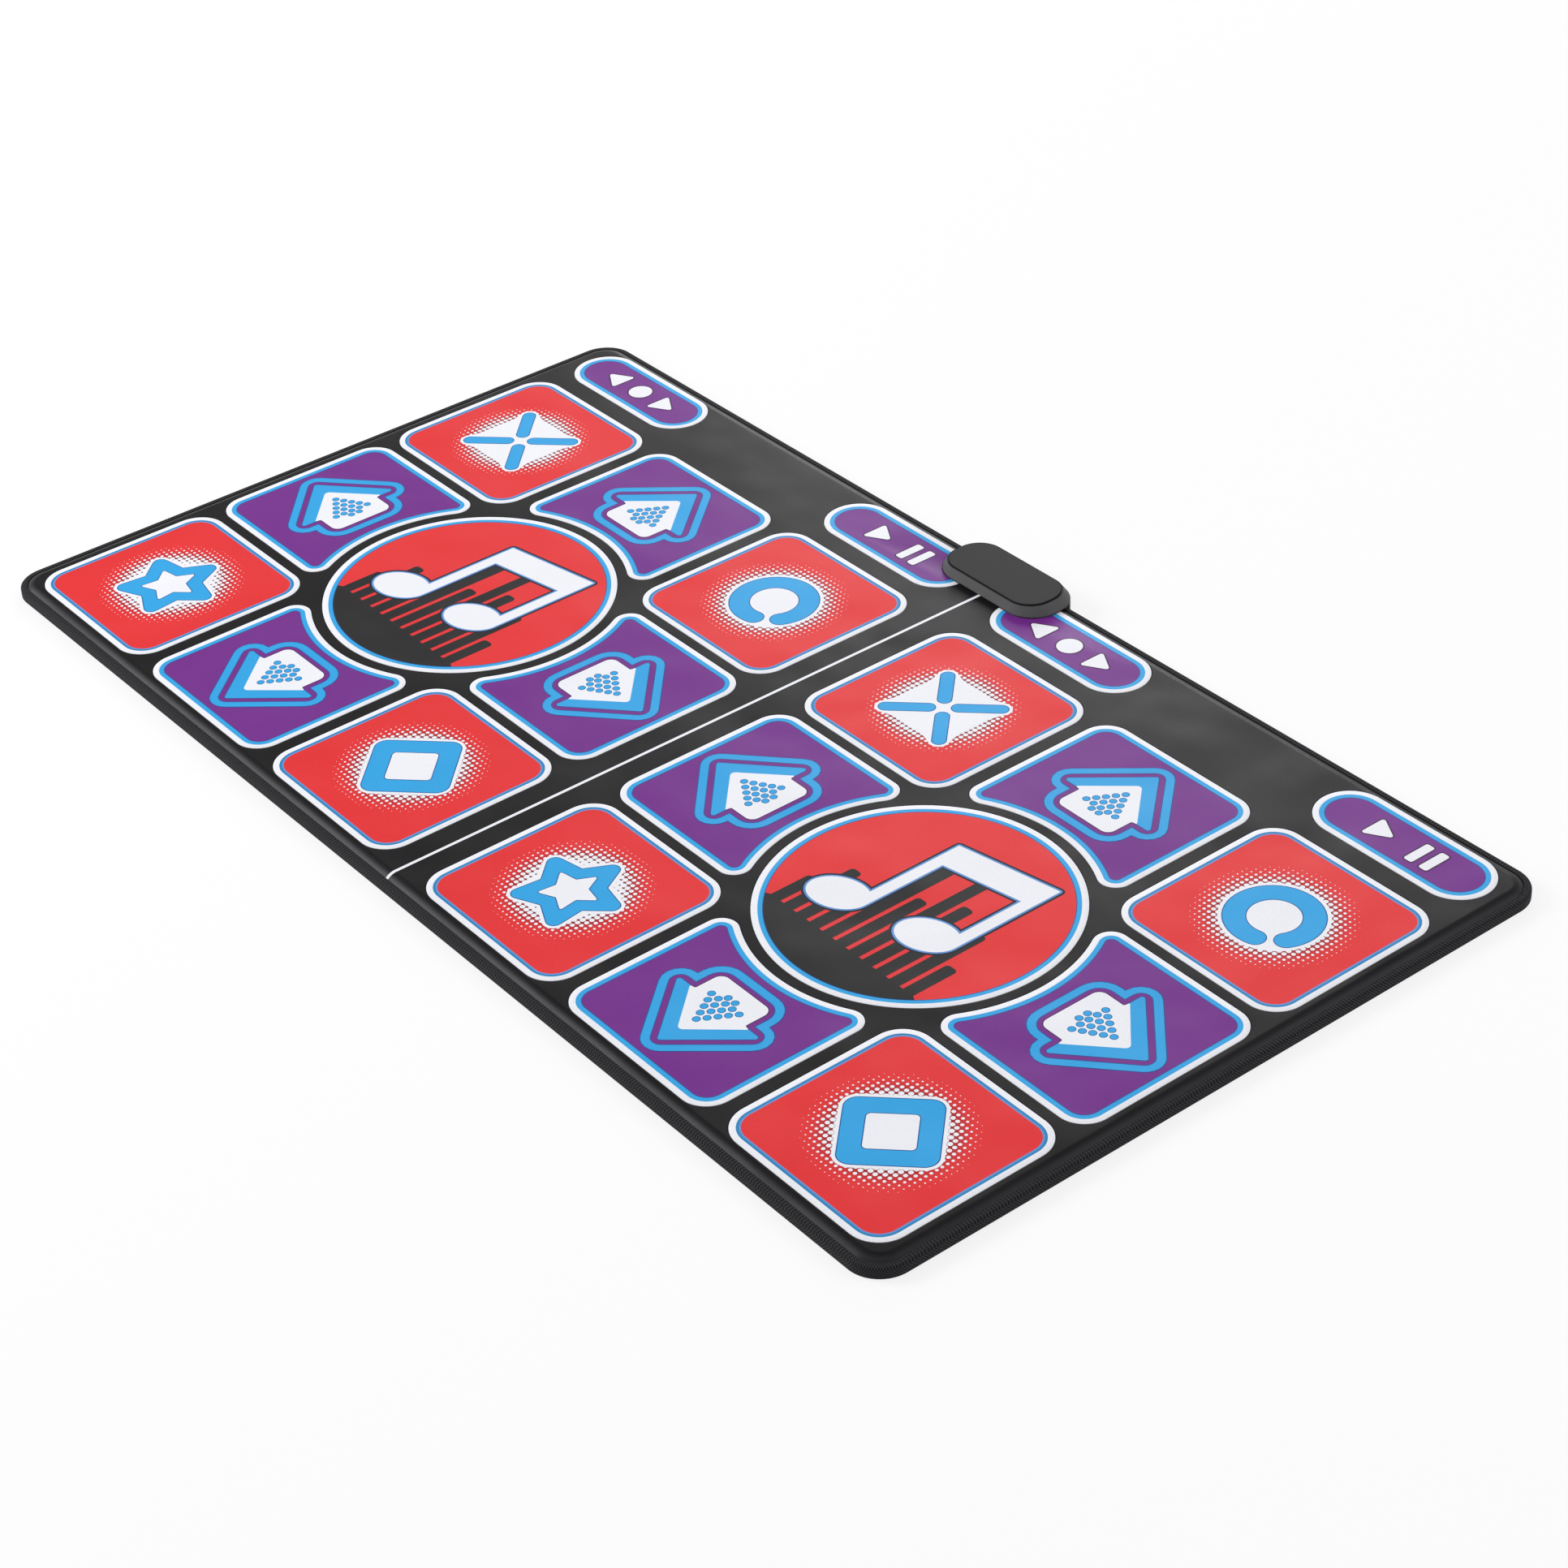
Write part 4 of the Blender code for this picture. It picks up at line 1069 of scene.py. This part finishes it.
# %% Pod
wall = [(0.0002, 0.0), (0.0, 0.0002), (0.0, 0.0009), (0.0002, 0.0013)]
loops = [(pod_edge(0.0020), RIM)] + [(pod_edge(inset), RIM + up) for inset, up in wall]
loops += [(pod_edge(0.0, SLOPE - 0.0004), SHELF - 0.0002), (pod_edge(0.0, SLOPE), SHELF)]
rise = [(0.0002, SHELF - 0.0006), (0.0013, SHELF - 0.0006), (0.0014, PEAK - 0.0006), (0.0016, PEAK - 0.0002),
        (0.0020, PEAK), (0.0034, PEAK)]
loops += [(pod_edge(inset, SLOPE), z) for inset, z in rise]
upper = skinned("pod_upper", loops, "pod", "pod_groove_shade")
with editing(upper, "VERT") as mesh:
    for vert in mesh.verts:
        vert.select = vert.index >= len(mesh.verts) - len(loops[-1][0])
    mesh.select_flush_mode()
    bpy.ops.mesh.edge_face_add()
    bpy.ops.mesh.select_all(action="SELECT")
    bpy.ops.mesh.normals_make_consistent(inside=False)
# Faces at the groove's height take the painted shade.
for face in upper.data.polygons:
    heights = [upper.data.vertices[i].co.z for i in face.vertices]
    face.material_index = 1 if min(heights) > SHELF - 0.0007 and max(heights) < SHELF + 0.0007 else 0
apply(upper, "SOLIDIFY", thickness=POD_WALL, offset=-1.0)
print("pod faces", len(upper.data.polygons))

# %% [markdown]
# The feet fill the wedge between the pod's rim and the tape at both ends of the notch. Each is a slab with a
# curved side that follows the pod's corner, a little inside it.

# %% Feet of the pod
FOOT_GAP, FOOT_INSET = 0.0005, 0.0008
foot_back, foot_front, foot_side = HALF_Y - FOOT_GAP, HALF_Y - FLAP + FOOT_GAP, NOTCH_WIDTH / 2 + FOOT_GAP
corner_x, corner_y, bend = POD_LENGTH / 2 - POD_CORNER, pod_high.y - POD_CORNER, POD_CORNER - FOOT_INSET
turns = [math.degrees(math.asin((y - corner_y) / bend)) for y in (foot_front, foot_back)]
right_foot = [(foot_side, foot_front), *arc((corner_x, corner_y), bend, *turns, 6), (foot_side, foot_back)]
feet = [slab("foot_right", right_foot, TAPE_TOP + SEAM, RIM + 0.001)]
feet.append(slab("foot_left", [(-x, y) for x, y in reversed(right_foot)], TAPE_TOP + SEAM, RIM + 0.001))
for foot in feet:
    foot.data.materials.append(FINISHES["pod"])
upper = join([upper, *feet], "pod_upper")
smooth(upper, 25)
fit(upper, "mat", "pod", "pod_upper_shell")
print("pod with its feet", len(upper.data.polygons), "faces")

# %% [markdown]
# The lower moulding, the bush for the cord, the screws and everything inside keep the shapes that the frame
# gives them. They only need their finishes.

# %% Finishes on the frame's own pieces
FRAME_FINISH = {
    "foam_core": "foam", "spacer_foam": "foam", "lower_film_left": "film", "lower_film_right": "film",
    "circuit_board": "board", "controller_chip": "chip", "tail_connector_left": "chip", "tail_connector_right": "chip",
    "cord_gland": "rubber", "pod_lower_shell": "pod",
}
finished = []
for node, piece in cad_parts.items():
    kind = FRAME_FINISH.get(node)
    if node.startswith("pod_screw"):
        kind = "steel"
    elif "_contact_" in node:
        kind = "contact"
    if kind:
        piece.data.materials.clear()
        piece.data.materials.append(FINISHES[kind])
        smooth(piece, 30)
        finished.append(node)
print(len(finished), "of the frame's own pieces finished")

# %% [markdown]
# The mat is upholstery: the cover is the skin of a padded piece, and the tape, the backing and each printed panel are
# sheets. Here only the flat area of each panel's outline is worked out.

# %% Soft pieces
def flat_area(points):
    return abs(sum(x0 * y1 - x1 * y0 for (x0, y0), (x1, y1) in zip(points, points[1:] + points[:1]))) / 2


for (player, button), piece in panels.items():
    edge = button_edge(button)
    flat_area(edge)
print(len(panels) + len(DISC_AT) + 2, "sheets and a padded cover")

# %% [markdown]
# The mat lies on a white studio floor that curves up into a white wall all round, so every view has a white
# background. The floor and the wall look white to the camera and in reflections, and the floor keeps the mat's
# shadow. It ends 0.2 mm under the mat, so the two never share a plane.

# %% Floor
ground = Finish("white_floor")
ray = ground.tree.nodes.new("ShaderNodeLightPath")
seen = Wire(ground, ray.outputs["Is Camera Ray"]).at_least(Wire(ground, ray.outputs["Is Glossy Ray"]))
seen = seen.at_least(Wire(ground, ray.outputs["Is Transmission Ray"]))
glow = ground.node("ShaderNodeEmission", {}, {"Color": (1.0, 1.0, 1.0), "Strength": 1.0})
ground.set(Base_Color=(0.90, 0.90, 0.90), Roughness=0.9)
blend = ground.node("ShaderNodeMixShader", {}, [seen * 0.80, Wire(ground, ground.shader.outputs[0]), glow])
ground.plug(ground.tree.nodes["Material Output"].inputs["Surface"], blend)
WALL_TOP = 9.0
floor = cut_out("floor", circle(27.0), WALL_TOP)
with editing(floor):
    bpy.ops.mesh.select_all(action="SELECT")
    for inwards, down in ((0.02, 6.0), (0.4, 1.5), (0.8, 0.9), (1.2, 0.45), (1.6, 0.1502)):
        bpy.ops.mesh.inset(thickness=inwards, use_even_offset=True)
        bpy.ops.transform.translate(value=(0, 0, -down))
smooth(floor, 60)
floor.data.materials.append(ground.material)
print("floor at", round(min(vert.co.z for vert in floor.data.vertices), 4))

# %% [markdown]
# The world gives an even base. One large lamp in front gives the direction, and a small one on the right at
# the back lifts that side. A wide panel behind is mirrored in the satin vinyl, as the wall is, so the mat's far
# side looks lighter. The lamps light the mat but don't show in the picture.

# %% Light
DAYLIGHT = 0.46
world = bpy.data.worlds.new("daylight")
bpy.context.scene.world = world
world.use_nodes = True
sky = world.node_tree.nodes["Background"]
sky.inputs["Color"].default_value = (1.0, 1.0, 1.0, 1.0)
sky.inputs["Strength"].default_value = DAYLIGHT


def softbox(name, at, size, power):
    """A square lamp that looks at the middle of the mat."""
    let_go()
    bpy.ops.object.light_add(type="AREA", location=at)
    lamp = bpy.context.object
    lamp.name = name
    lamp.data.shape, lamp.data.size, lamp.data.energy = "SQUARE", size, power
    lamp.visible_camera = False
    lamp.rotation_euler = (-Vector(at)).to_track_quat("-Z", "Y").to_euler()


softbox("key", (-4.3, -3.5, 3.2), 2.6, 315)
softbox("sheen", (-4.4, 5.1, 2.6), 3.0, 155)
softbox("fill", (3.2, 2.6, 2.6), 2.0, 55)

# %% [markdown]
# The print and the grain add nothing that anyone could measure to the size of what shows.
